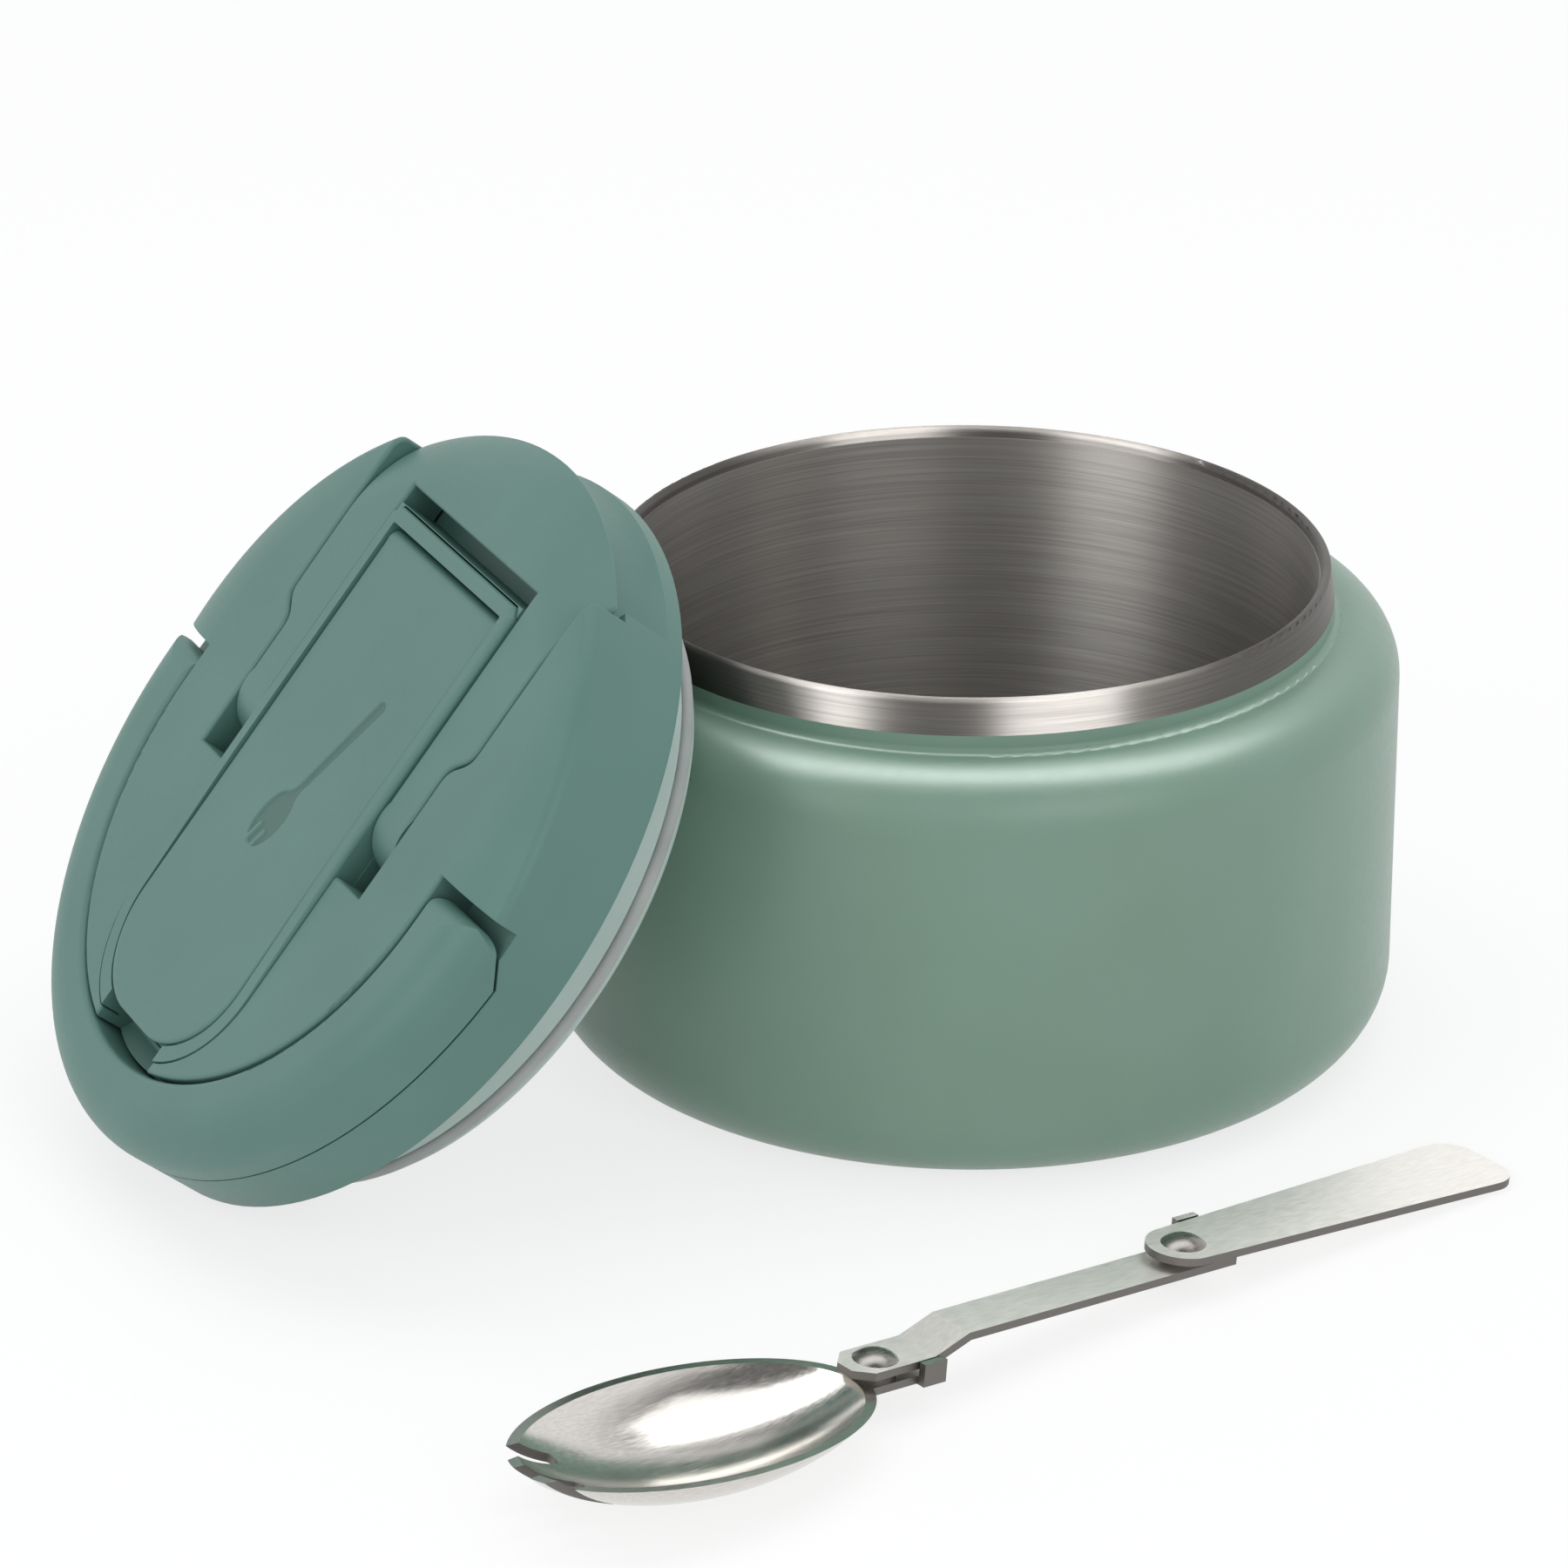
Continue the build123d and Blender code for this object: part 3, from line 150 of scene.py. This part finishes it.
tree.links.new(table_look.outputs[0], tree.nodes["Material Output"].inputs["Surface"])
table_mesh.materials.append(laminate)


LAMP_AIM = Vector((0, 0, 0.04))


def soft_box(name, place, size, power):
    """Rectangular lamp of so many watts, turned to the jar, that the camera doesn't see."""
    data = bpy.data.lights.new(name, "AREA")
    data.shape = "RECTANGLE"
    data.size, data.size_y = size
    data.energy = power
    lamp = bpy.data.objects.new(name, data)
    lamp.location = place
    lamp.rotation_mode = "QUATERNION"
    lamp.rotation_quaternion = (LAMP_AIM - Vector(place)).to_track_quat("-Z", "Y")
    lamp.visible_camera = False
    bpy.context.scene.collection.objects.link(lamp)
    return lamp


def reflector(name, place, size, power, *nodes):
    """Soft box that is only seen in the gloss of the named nodes, and lights nothing."""
    lamp = soft_box(name, place, size, power)
    lamp.visible_diffuse = False
    shown_on = bpy.data.collections.new(name + "_on")
    for node in nodes:
        shown_on.objects.link(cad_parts[node])
    lamp.light_linking.receiver_collection = shown_on


# Each line: name, middle, width and height in metres, watts, then the nodes that show it.
soft_box("left_box", (-1.02, -0.81, 0.7), (0.9, 0.9), 2.8)
soft_box("right_box", (0.61, -1.15, 0.7), (0.9, 0.8), 2.8)
soft_box("top_box", (0.0, 0.2, 1.2), (1.8, 0.7), 5.6)
reflector("top_reflector", (0.0, 0.12, 1.19), (2.0, 0.6), 34.0, "outer_shell")
reflector("left_reflector", (-1.01, -0.8, 0.6), (0.9, 0.9), 50.0, "rim_collar")
reflector("right_reflector", (0.6, -1.14, 0.6), (0.9, 0.9), 50.0, "rim_collar")
reflector("rim_reflector", (0.0, 0.1, 1.18), (1.6, 0.5), 30.0, "rim_collar")
reflector("liner_reflector", (-1.0, -0.79, 0.6), (0.7, 0.9), 16.0, "inner_liner")
reflector("strip_reflector", (0.4, 0.45, 1.0), (0.8, 0.5), 6.0, "spork_link", "spork_grip")
reflector("bowl_reflector", (-0.1, 0.2, 1.15), (1.6, 0.6), 9.0, "spork_bowl")
reflector("rivet_reflector", (-0.1, 0.2, 1.15), (1.6, 0.6), 3.0, "front_rivet", "rear_rivet")


# ======================================================================================
# Outer shell and base plate
# Drawn stainless cup, powder-coated sage green: satin, with a fine orange peel that breaks
# the edge of every highlight.  The base plate is bare steel, welded in and turned clean.
# ======================================================================================
MM = 0.001


def new_finish(name):
    """New material: itself, its tree, its main shader and the Object coordinates."""
    finish = bpy.data.materials.new(name)
    finish.use_nodes = True
    tree = finish.node_tree
    place = add_node(tree, "ShaderNodeTexCoord").outputs["Object"]
    return finish, tree, tree.nodes["Principled BSDF"], place


def set_shader(shader, **values):
    """Set the shader's own sockets; an underscore stands for a space."""
    for name, value in values.items():
        shader.inputs[name.replace("_", " ")].default_value = value


def coat_nodes(finish, *names):
    """Put a finish on CAD nodes through their objects' material slots."""
    for name in names:
        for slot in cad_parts[name].material_slots:
            slot.material = finish


def grain(tree, place, size_mm, detail=2.0, stretch=(1, 1, 1), turn=(0, 0, 0)):
    """Noise with blobs about size_mm across, turned, then drawn out along the axes by stretch."""
    turned = add_node(tree, "ShaderNodeMapping", {"vector_type": "TEXTURE"},
                      {"Vector": place, "Rotation": turn, "Scale": stretch})
    return add_node(tree, "ShaderNodeTexNoise", None,
                    {"Vector": turned.outputs[0], "Scale": 1 / (size_mm * MM),
                     "Detail": detail}).outputs[0]


def bumped(tree, shader, height, depth_mm):
    """Let a height from 0 to 1 raise the surface by depth_mm."""
    bump = add_node(tree, "ShaderNodeBump", None, {"Height": height, "Distance": depth_mm * MM})
    tree.links.new(bump.outputs[0], shader.inputs["Normal"])


def spread(tree, factor, low, high, start=0.3, stop=0.7):
    """Map a factor from start to stop on to low to high."""
    return add_node(tree, "ShaderNodeMapRange", None,
                    {"Value": factor, "From Min": start, "From Max": stop,
                     "To Min": low, "To Max": high}).outputs[0]


def two_tone(tree, factor, dark, light):
    """Mix two hex colours by a factor, the darker at 0.3 and the lighter at 0.7."""
    return add_node(tree, "ShaderNodeMix", {"data_type": "RGBA"},
                    {0: spread(tree, factor, 0, 1), 6: tone(dark), 7: tone(light)}).outputs[2]


# Powder coat: epoxy-polyester fired at 200 C.  Its peel is about 1 mm across and 10 microns
# high, drawn twice as high so that it shows.  The film is a shade lighter where it is thick.
PEEL_MM = 1.1
PEEL_HIGH_MM = 0.02
COAT_CLOUD_MM = 30.0
coat, tree, shader, place = new_finish("powder_coat_sage")
peel = grain(tree, place, PEEL_MM)
tree.links.new(two_tone(tree, grain(tree, place, COAT_CLOUD_MM), "#769584", "#7B9A8A"),
               shader.inputs["Base Color"])
tree.links.new(spread(tree, peel, 0.36, 0.44), shader.inputs["Roughness"])
set_shader(shader, IOR=1.5, Coat_Weight=0.2, Coat_Roughness=0.3)
bumped(tree, shader, peel, PEEL_HIGH_MM)
coat_nodes(coat, "outer_shell")

# Bare steel turned on a lathe: rings about 0.4 mm apart round the axis, at random brightness.
TURNED_MM = 0.4
TURNED_HIGH_MM = 0.004
turned_steel, tree, shader, place = new_finish("stainless_turned")
flat = add_node(tree, "ShaderNodeVectorMath", {"operation": "MULTIPLY"}, {0: place, 1: (1, 1, 0)})
radius = add_node(tree, "ShaderNodeVectorMath", {"operation": "LENGTH"}, {0: flat.outputs[0]})
line = add_node(tree, "ShaderNodeCombineXYZ", None, {"X": radius.outputs["Value"]})
rings = grain(tree, line.outputs[0], TURNED_MM)
tree.links.new(two_tone(tree, rings, "#A5A29D", "#C2BFBA"), shader.inputs["Base Color"])
tree.links.new(spread(tree, rings, 0.28, 0.4), shader.inputs["Roughness"])
set_shader(shader, Metallic=1.0)
bumped(tree, shader, rings, TURNED_HIGH_MM)
coat_nodes(turned_steel, "base_plate")


# ======================================================================================
# Collar, liner and getter
# Bare stainless band rolled over the rim, and the drawn food cup inside it.  Both are brushed
# round the axis with an abrasive belt, so light is smeared upright into bands.
# ======================================================================================
BELT_MM = 0.22           # width of a belt scratch; real ones are about 0.05 mm
BELT_LONG = 90           # how many times longer than wide a scratch is
BELT_HIGH_MM = 0.004
LINER_BELT_MM = 0.33     # the cup was brushed with a coarser belt


def brush_round(tree, shader, rough, aniso):
    """Smear gloss across the belt lines: the tangent runs round Z and the lobe is turned."""
    tangent = add_node(tree, "ShaderNodeTangent", {"direction_type": "RADIAL", "axis": "Z"})
    tree.links.new(tangent.outputs[0], shader.inputs["Tangent"])
    set_shader(shader, Metallic=1.0, Roughness=rough, Anisotropic=aniso, Anisotropic_Rotation=0.25)


brushed, tree, shader, place = new_finish("stainless_brushed_collar")
belt = grain(tree, place, BELT_MM, 3.0, (BELT_LONG, BELT_LONG, 1))
tree.links.new(two_tone(tree, belt, "#666360", "#767370"), shader.inputs["Base Color"])
brush_round(tree, shader, 0.45, 1.0)
bumped(tree, shader, belt, BELT_HIGH_MM)
coat_nodes(brushed, "rim_collar")

liner_steel, tree, shader, place = new_finish("stainless_brushed_liner")
belt = grain(tree, place, LINER_BELT_MM, 3.0, (BELT_LONG, BELT_LONG, 1))
tree.links.new(two_tone(tree, belt, "#96938F", "#ACA9A5"), shader.inputs["Base Color"])
brush_round(tree, shader, 0.46, 0.9)
bumped(tree, shader, belt, BELT_HIGH_MM)
coat_nodes(liner_steel, "inner_liner")

# Getter: pressed zirconium powder, dull and grainy.
GETTER_MM = 0.25
GETTER_HIGH_MM = 0.05
getter, tree, shader, place = new_finish("zirconium_getter_pressed")
powder = grain(tree, place, GETTER_MM, 4.0)
tree.links.new(two_tone(tree, powder, "#55565A", "#7B7C7F"), shader.inputs["Base Color"])
set_shader(shader, Metallic=0.6, Roughness=0.75)
bumped(tree, shader, powder, GETTER_HIGH_MM)
coat_nodes(getter, "vacuum_getter")


# ======================================================================================
# Plug, foot disc, presser, foam and seal
# The cup-shaped plug and the parts under it are moulded polypropylene in a pale sage, a
# little milky.  Foam fills the plug, and a soft silicone ring seals it in the neck.
# ======================================================================================
PALE_CLOUD_MM = 14.0
PALE_GRAIN_MM = 0.5
PALE_HIGH_MM = 0.004
pale, tree, shader, place = new_finish("polypropylene_moulded_pale_sage")
fine = grain(tree, place, PALE_GRAIN_MM)
tree.links.new(two_tone(tree, grain(tree, place, PALE_CLOUD_MM), "#B1C4BE", "#B8CAC4"),
               shader.inputs["Base Color"])
tree.links.new(spread(tree, fine, 0.3, 0.38), shader.inputs["Roughness"])
set_shader(shader, IOR=1.49, Subsurface_Weight=0.15, Subsurface_Scale=0.002)
bumped(tree, shader, fine, PALE_HIGH_MM)
coat_nodes(pale, "inner_lid", "foot_disc", "presser")

# Polyurethane foam: closed cells about 0.8 mm across, their skins catching the light, which is
# painted: a highlight on the cell walls and shade in their middles.
CELL_MM = 0.8
CELL_HIGH_MM = 0.2
foam, tree, shader, place = new_finish("polyurethane_foam_cells")
cells = add_node(tree, "ShaderNodeTexVoronoi", None, {"Vector": place, "Scale": 1 / (CELL_MM * MM)})
# Painted highlight and shade: lighter towards the cell walls, darker in the middles.
tree.links.new(two_tone(tree, cells.outputs["Distance"], "#D8CFB4", "#EFE8D2"),
               shader.inputs["Base Color"])
set_shader(shader, Roughness=0.9)
bumped(tree, shader, cells.outputs["Distance"], CELL_HIGH_MM)
coat_nodes(foam, "lid_foam")

# Silicone, moulded in a blasted tool: cloudy grey, light soaks in, with a dull sheen.
BLAST_MM = 0.3
BLAST_HIGH_MM = 0.006
SILICONE_CLOUD_MM = 9.0
silicone, tree, shader, place = new_finish("silicone_moulded_cloudy")
blast = grain(tree, place, BLAST_MM)
tree.links.new(two_tone(tree, grain(tree, place, SILICONE_CLOUD_MM), "#A4ABAA", "#B2B9B7"),
               shader.inputs["Base Color"])
tree.links.new(spread(tree, blast, 0.42, 0.55), shader.inputs["Roughness"])
set_shader(shader, IOR=1.41, Subsurface_Weight=0.5, Subsurface_Scale=0.003)
bumped(tree, shader, blast, BLAST_HIGH_MM)
coat_nodes(silicone, "seal_ring")


# ======================================================================================
# Cap, pocket tray, lever and handle
# Moulded polypropylene in a deep sage.  The tool is spark-eroded to a fine even grain, so
# the faces are matt and only the rounded edges carry a soft highlight.
# ======================================================================================
SPARK_MM = 0.35          # grain of the tool; real grain is about 0.1 mm
SPARK_HIGH_MM = 0.008
DEEP_CLOUD_MM = 24.0
DEEP_DARK = "#5A8178"
DEEP_LIGHT = "#5F867D"


def moulded_deep(name):
    """Deep sage polypropylene: clouds of pigment, the grain in height and in roughness.

    Gives the material, its tree, its shader and the colour that reaches it.
    """
    finish, tree, shader, place = new_finish(name)
    spark = grain(tree, place, SPARK_MM)
    cloud = two_tone(tree, grain(tree, place, DEEP_CLOUD_MM), DEEP_DARK, DEEP_LIGHT)
    tree.links.new(cloud, shader.inputs["Base Color"])
    tree.links.new(spread(tree, spark, 0.4, 0.5), shader.inputs["Roughness"])
    set_shader(shader, IOR=1.49)
    bumped(tree, shader, spark, SPARK_HIGH_MM)
    return finish, tree, shader, cloud


deep = moulded_deep("polypropylene_moulded_deep_sage")[0]
coat_nodes(deep, "lid_cap", "pocket_tray", "carry_handle", "lock_lever")


# ======================================================================================
# Pins and push rods
# Ground stainless rod, cut to length: fine marks of the wheel that break up the gloss.
# ======================================================================================
GROUND_MM = 0.2
ground, tree, shader, place = new_finish("stainless_ground_rod")
marks = grain(tree, place, GROUND_MM, 3.0)
tree.links.new(two_tone(tree, marks, "#AFACA8", "#C6C3BE"), shader.inputs["Base Color"])
tree.links.new(spread(tree, marks, 0.22, 0.36), shader.inputs["Roughness"])
set_shader(shader, Metallic=1.0)
coat_nodes(ground, "cover_pin", "handle_pins", "lever_pins", "push_rods")


# ======================================================================================
# Pocket cover with its sign
# Moulded plate that turns on a barrel across its front end and shuts the spork's pocket.
# A small sign of a spork is sunk in its top, and its colour is painted darker there as shade in the
# recess.
# ======================================================================================
LEAN_TURN = radians(205.0)      # azimuth that the lid faces, and its tilt from level
LEAN_TILT = radians(50.6)
LID_REACH_MM = 93.7             # the lid frame's origin: distance from the jar's axis, height
LID_HEIGHT_MM = 46.39

# The plate, in millimetres in the lid's frame: x across, y up the face, z out of it.
COVER_HALF = 19.5
COVER_FRONT = -35.1
COVER_BACK = 43.2
COVER_MIDDLE = (COVER_FRONT + COVER_BACK) / 2
COVER_HALF_LONG = 40.0          # rounded up
COVER_CORNER = 15.0
COVER_TOP = 18.9
COVER_UNDER = 16.4
COVER_EDGE = 0.5                # radius of the top edge
COVER_CHAMFER = 0.3             # of the under edge

# Grid lines: fine across the sign, finest at the rounded edge.  Across they are shares of the
# half width, along they are places.  Each stretch has its own step.
LINES_ACROSS = ([-1.0, -0.97, -0.62, 0.5, 0.97, 1.0], [0.005, 0.05, 0.0088, 0.05, 0.005])
LINES_ALONG = ([COVER_FRONT, -20.0, 16.0, 28.2, COVER_BACK - 0.6, COVER_BACK],
               [1.0, 0.17, 0.6, 0.3, 0.1])

BARREL_R = 1.9
BARREL_Z = 17.0
BARREL_BORE = 1.05
BARREL_EDGE = 0.25              # chamfer at both ends
BARREL_SIDES = 64
SHARP_FROM = radians(35)        # edges that bend more than this are shaded as edges

# The sign: its places on the plate, and its sizes along and across itself.
SIGN_SUNK = 0.28
SIGN_WALL = 0.16                # how far the sloped wall runs to either side of the outline
SIGN_FROM = (-7.2, -16.5)       # tip of its handle
SIGN_TO = (2.6, 12.2)           # tip of its bowl
SIGN_BAR_ENDS = (1.0, 8.0)      # how far the bar's line stays from either tip
SIGN_BAR = 1.15                 # half the bar's width, less the taper for each mm along it
SIGN_BAR_TAPER = 0.022
SIGN_BOWL = (5.2, 3.5)          # half the bowl's length and width
SIGN_NECK = 2.4                 # length over which bar and bowl flow together
SIGN_SLOTS_AT = (-1.1, 1.1)     # middles of the two slots between the tines
SIGN_SLOT = (3.2, 0.4)          # length and half width of a slot


def lid_to_world(points):
    """Turn lid coordinates in mm to world metres: across, up the face, and out of the face."""
    across = np.array([sin(LEAN_TURN), -cos(LEAN_TURN), 0.0])
    out = np.array([sin(LEAN_TILT) * cos(LEAN_TURN), sin(LEAN_TILT) * sin(LEAN_TURN),
                    cos(LEAN_TILT)])
    origin = np.array([LID_REACH_MM * cos(LEAN_TURN), LID_REACH_MM * sin(LEAN_TURN),
                       LID_HEIGHT_MM])
    return (origin + points @ np.stack([across, np.cross(out, across), out])) * MM


def smooth(low, high, value):
    """Ease from 0 at low to 1 at high."""
    t = np.clip((value - low) / (high - low), 0, 1)
    return t * t * (3 - 2 * t)


def sign_depth(x, y):
    """Depth of the sign: full inside its outline, easing to nothing over the sloped wall.

    Along the sign runs s and across it t.  The handle is a bar with round ends that narrows
    to the neck, the bowl an ellipse, and two slots part three tines at its tip.  Each is a
    distance from its outline, less than 0 inside.  Bar and bowl join by a smooth minimum.
    """
    start, stop = np.array(SIGN_FROM), np.array(SIGN_TO)
    length = np.linalg.norm(stop - start)
    along = (stop - start) / length
    s = (x - start[0]) * along[0] + (y - start[1]) * along[1]
    t = (y - start[1]) * along[0] - (x - start[0]) * along[1]
    bar_s = np.clip(s, SIGN_BAR_ENDS[0], length - SIGN_BAR_ENDS[1])
    bar = np.hypot(s - bar_s, t) - (SIGN_BAR - SIGN_BAR_TAPER * bar_s)
    half_long, half_wide = SIGN_BOWL
    bowl = (np.hypot((s - length + half_long) / half_long, t / half_wide) - 1) * half_wide
    blend = np.clip(0.5 + (bowl - bar) / SIGN_NECK, 0, 1)
    shape = bowl + (bar - bowl) * blend - SIGN_NECK / 2 * blend * (1 - blend)
    slot_long, slot_half = SIGN_SLOT
    for middle in SIGN_SLOTS_AT:
        slot = np.hypot(np.maximum(length - slot_long - s, 0), t - middle) - slot_half
        shape = np.maximum(shape, -slot)
    return SIGN_SUNK * smooth(SIGN_WALL, -SIGN_WALL, shape)


def cover_plan(u, y):
    """Place across: u of the half width, which shrinks along a quarter circle to the back."""
    past = np.maximum(y - (COVER_BACK - COVER_CORNER), 0)
    half = COVER_HALF - COVER_CORNER + np.sqrt(np.maximum(COVER_CORNER**2 - past**2, 0))
    return u * half


def steps(stops, sizes):
    """Line places from stop to stop, each stretch in equal steps of about its size."""
    runs = [np.linspace(a, b, max(2, round((b - a) / size)), endpoint=False)
            for a, b, size in zip(stops, stops[1:], sizes)]
    return np.concatenate(runs + [stops[-1:]])


def ring_strip(lower, upper):
    """Quads between two closed loops of point numbers."""
    return np.stack([lower, np.roll(lower, -1), np.roll(upper, -1), upper], axis=1)


def cover_mesh():
    """Plate: its top a grid over u and y, then the wall and the chamfer down to the floor.

    The top is level, less a quarter circle where a point is nearer to the outline than the
    edge's radius, and less the sign's depth.  Gives points, faces and the floor's loop.
    """
    u, y = np.meshgrid(steps(*LINES_ACROSS), steps(*LINES_ALONG))
    x = cover_plan(u, y)
    inside = COVER_CORNER - np.hypot(np.maximum(np.abs(x) - (COVER_HALF - COVER_CORNER), 0),
                                     np.maximum(y - (COVER_BACK - COVER_CORNER), 0))
    inside = np.minimum(inside, np.where(np.abs(u) == 1, 0, np.inf))
    short = np.clip(COVER_EDGE - inside, 0, COVER_EDGE)
    z = COVER_TOP - COVER_EDGE + np.sqrt(COVER_EDGE**2 - short**2) - sign_depth(x, y)
    top = np.stack([x, y, z], axis=-1).reshape(-1, 3)
    rows, columns = u.shape
    number = np.arange(rows * columns).reshape(rows, columns)
    quads = np.stack([number[:-1, :-1], number[:-1, 1:], number[1:, 1:], number[1:, :-1]], axis=-1)
    rim = np.concatenate([number[0, :-1], number[:-1, -1], number[-1, :0:-1], number[:0:-1, 0]])
    wall = top[rim] * (1, 1, 0) + (0, 0, COVER_UNDER + COVER_CHAMFER)
    middle = (0, COVER_MIDDLE, 0)
    shrink = (1 - COVER_CHAMFER / COVER_HALF, 1 - COVER_CHAMFER / COVER_HALF_LONG, 1)
    floor = (wall - middle) * shrink + middle - (0, 0, COVER_CHAMFER)
    first, count = rows * columns, len(rim)
    wall_loop = first + np.arange(count)
    floor_loop = wall_loop + count
    faces = np.concatenate([quads.reshape(-1, 4), ring_strip(wall_loop, rim),
                            ring_strip(floor_loop, wall_loop)])
    return np.concatenate([top, wall, floor]), faces, floor_loop[::-1]


def barrel_mesh():
    """Tube turned round the pin: a closed profile of end chamfers, outside and bore."""
    end, shoulder = COVER_HALF, COVER_HALF - BARREL_EDGE
    profile = np.array([(-end, BARREL_BORE), (-end, BARREL_R - BARREL_EDGE), (-shoulder, BARREL_R),
                        (shoulder, BARREL_R), (end, BARREL_R - BARREL_EDGE), (end, BARREL_BORE)])
    angle = np.arange(BARREL_SIDES) * 2 * np.pi / BARREL_SIDES
    x = np.repeat(profile[:, :1], BARREL_SIDES, axis=1)
    y = COVER_FRONT + profile[:, 1:] * np.cos(angle)
    z = BARREL_Z + profile[:, 1:] * np.sin(angle)
    points = np.stack([x, y, z], axis=-1).reshape(-1, 3)
    number = np.arange(len(points)).reshape(len(profile), BARREL_SIDES)
    faces = [ring_strip(number[i], number[(i + 1) % len(profile)]) for i in range(len(profile))]
    return points, np.concatenate(faces)


plate_points, plate_faces, plate_floor = cover_mesh()
tube_points, tube_faces = barrel_mesh()
corners = np.concatenate([plate_points, tube_points])
faces = [*map(tuple, plate_faces), tuple(plate_floor), *map(tuple, tube_faces + len(plate_points))]
cover_data = bpy.data.meshes.new("cover_plate")
cover_data.from_pydata(lid_to_world(corners), [], faces)
cover_data.shade_smooth()
cover_data.set_sharp_from_angle(angle=SHARP_FROM)
sunk = cover_data.attributes.new("sunk", "FLOAT", "POINT")
# Share of the sign's depth at each point of the plate, kept to paint shade into the sign.
sign_shade_share = np.zeros(len(corners))
sign_shade_share[:len(plate_points)] = sign_depth(plate_points[:, 0], plate_points[:, 1]) / SIGN_SUNK
sunk.data.foreach_set("value", sign_shade_share.astype(np.float32))
cover_plate = bpy.data.objects.new("cover_plate", cover_data)
bpy.context.scene.collection.objects.link(cover_plate)
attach(cover_plate, "cover")
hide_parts("pocket_cover")

signed, tree, shader, cloud = moulded_deep("polypropylene_moulded_deep_sage_with_painted_sign_shade")
# Painted shade: the colour darkens towards #4C7067 as deep as the sign is sunk.
depth = add_node(tree, "ShaderNodeAttribute", {"attribute_name": "sunk"}).outputs["Fac"]
shade = add_node(tree, "ShaderNodeMix", {"data_type": "RGBA"},
                 {0: depth, 6: cloud, 7: tone("#4C7067")})
tree.links.new(shade.outputs[2], shader.inputs["Base Color"])
cover_data.materials.append(signed)


# ======================================================================================
# Folding spork
# Bowl, middle strip and grip are stamped from stainless sheet and buffed, the bowl brightest,
# with sheared edges left duller and painted darker as shade.  Two rivets with domed heads
# hold them, over washers.
# ======================================================================================
SPORK_TURN = radians(39.0)         # azimuth of the spork, and how much it rests tilted
SPORK_PITCH = radians(5.4)
BUFF_MM = 0.3                      # width of a scratch of the mop; real ones are finer
BUFF_LONG = 14                     # how many times longer than wide a scratch is
BUFF_HIGH_MM = 0.0012
SHEAR_ROUGH = 0.5
# Faces that look sideways are sheared edges: rough for real, and painted darker as shade.
SHEAR_FROM, SHEAR_TO = 0.2, 0.4    # how far a face looks up, from sheared edge to buffed face


def buffed(name, dark, light, edge, rough_low, rough_high):
    """Buffed stainless: short scratches along the spork in colour, gloss and height.

    Where a face looks sideways out of the spork, it is a sheared edge: rough, and painted darker as
    shade.
    """
    finish, tree, shader, place = new_finish(name)
    mop = grain(tree, place, BUFF_MM, 3.0, (BUFF_LONG, 1, 1), (0, 0, SPORK_TURN))
    up = (sin(SPORK_PITCH) * cos(SPORK_TURN), sin(SPORK_PITCH) * sin(SPORK_TURN),
          cos(SPORK_PITCH))
    facing = add_node(tree, "ShaderNodeVectorMath", {"operation": "DOT_PRODUCT"},
                      {0: add_node(tree, "ShaderNodeTexCoord").outputs["Normal"], 1: up})
    level = add_node(tree, "ShaderNodeMath", {"operation": "ABSOLUTE"},
                     {0: facing.outputs["Value"]})
    # Mask of the buffed faces. At 0, on the sheared edges, the edge colour is painted shade.
    face = spread(tree, level.outputs[0], 0, 1, SHEAR_FROM, SHEAR_TO)
    metal = add_node(tree, "ShaderNodeMix", {"data_type": "RGBA"},
                     {0: face, 6: tone(edge), 7: two_tone(tree, mop, dark, light)})
    gloss = add_node(tree, "ShaderNodeMix", {"data_type": "FLOAT"},
                     {0: face, 2: SHEAR_ROUGH, 3: spread(tree, mop, rough_low, rough_high)})
    tree.links.new(metal.outputs[2], shader.inputs["Base Color"])
    tree.links.new(gloss.outputs[0], shader.inputs["Roughness"])
    set_shader(shader, Metallic=1.0)
    bumped(tree, shader, mop, BUFF_HIGH_MM)
    return finish


# The third colour of each finish is its sheared edge's colour, a painted shade.
strip = buffed("stainless_buffed_strip", "#D8D5D1", "#E6E3DF", "#7A7774", 0.42, 0.5)
coat_nodes(strip, "spork_link", "spork_grip")
bright = buffed("stainless_buffed_bowl", "#CFCBC6", "#DEDBD6", "#7A7774", 0.16, 0.22)
coat_nodes(bright, "spork_bowl")

# Rivets, their heads formed cold and tumbled, so greyer, and punched washers, duller still.
domes = buffed("stainless_headed_rivet", "#85827E", "#9B9894", "#85827E", 0.22, 0.32)
coat_nodes(domes, "front_rivet", "rear_rivet")
dull = buffed("stainless_punched_washer", "#8A8784", "#A19E9A", "#6F6C69", 0.3, 0.42)
coat_nodes(dull, "front_washer", "rear_washer")
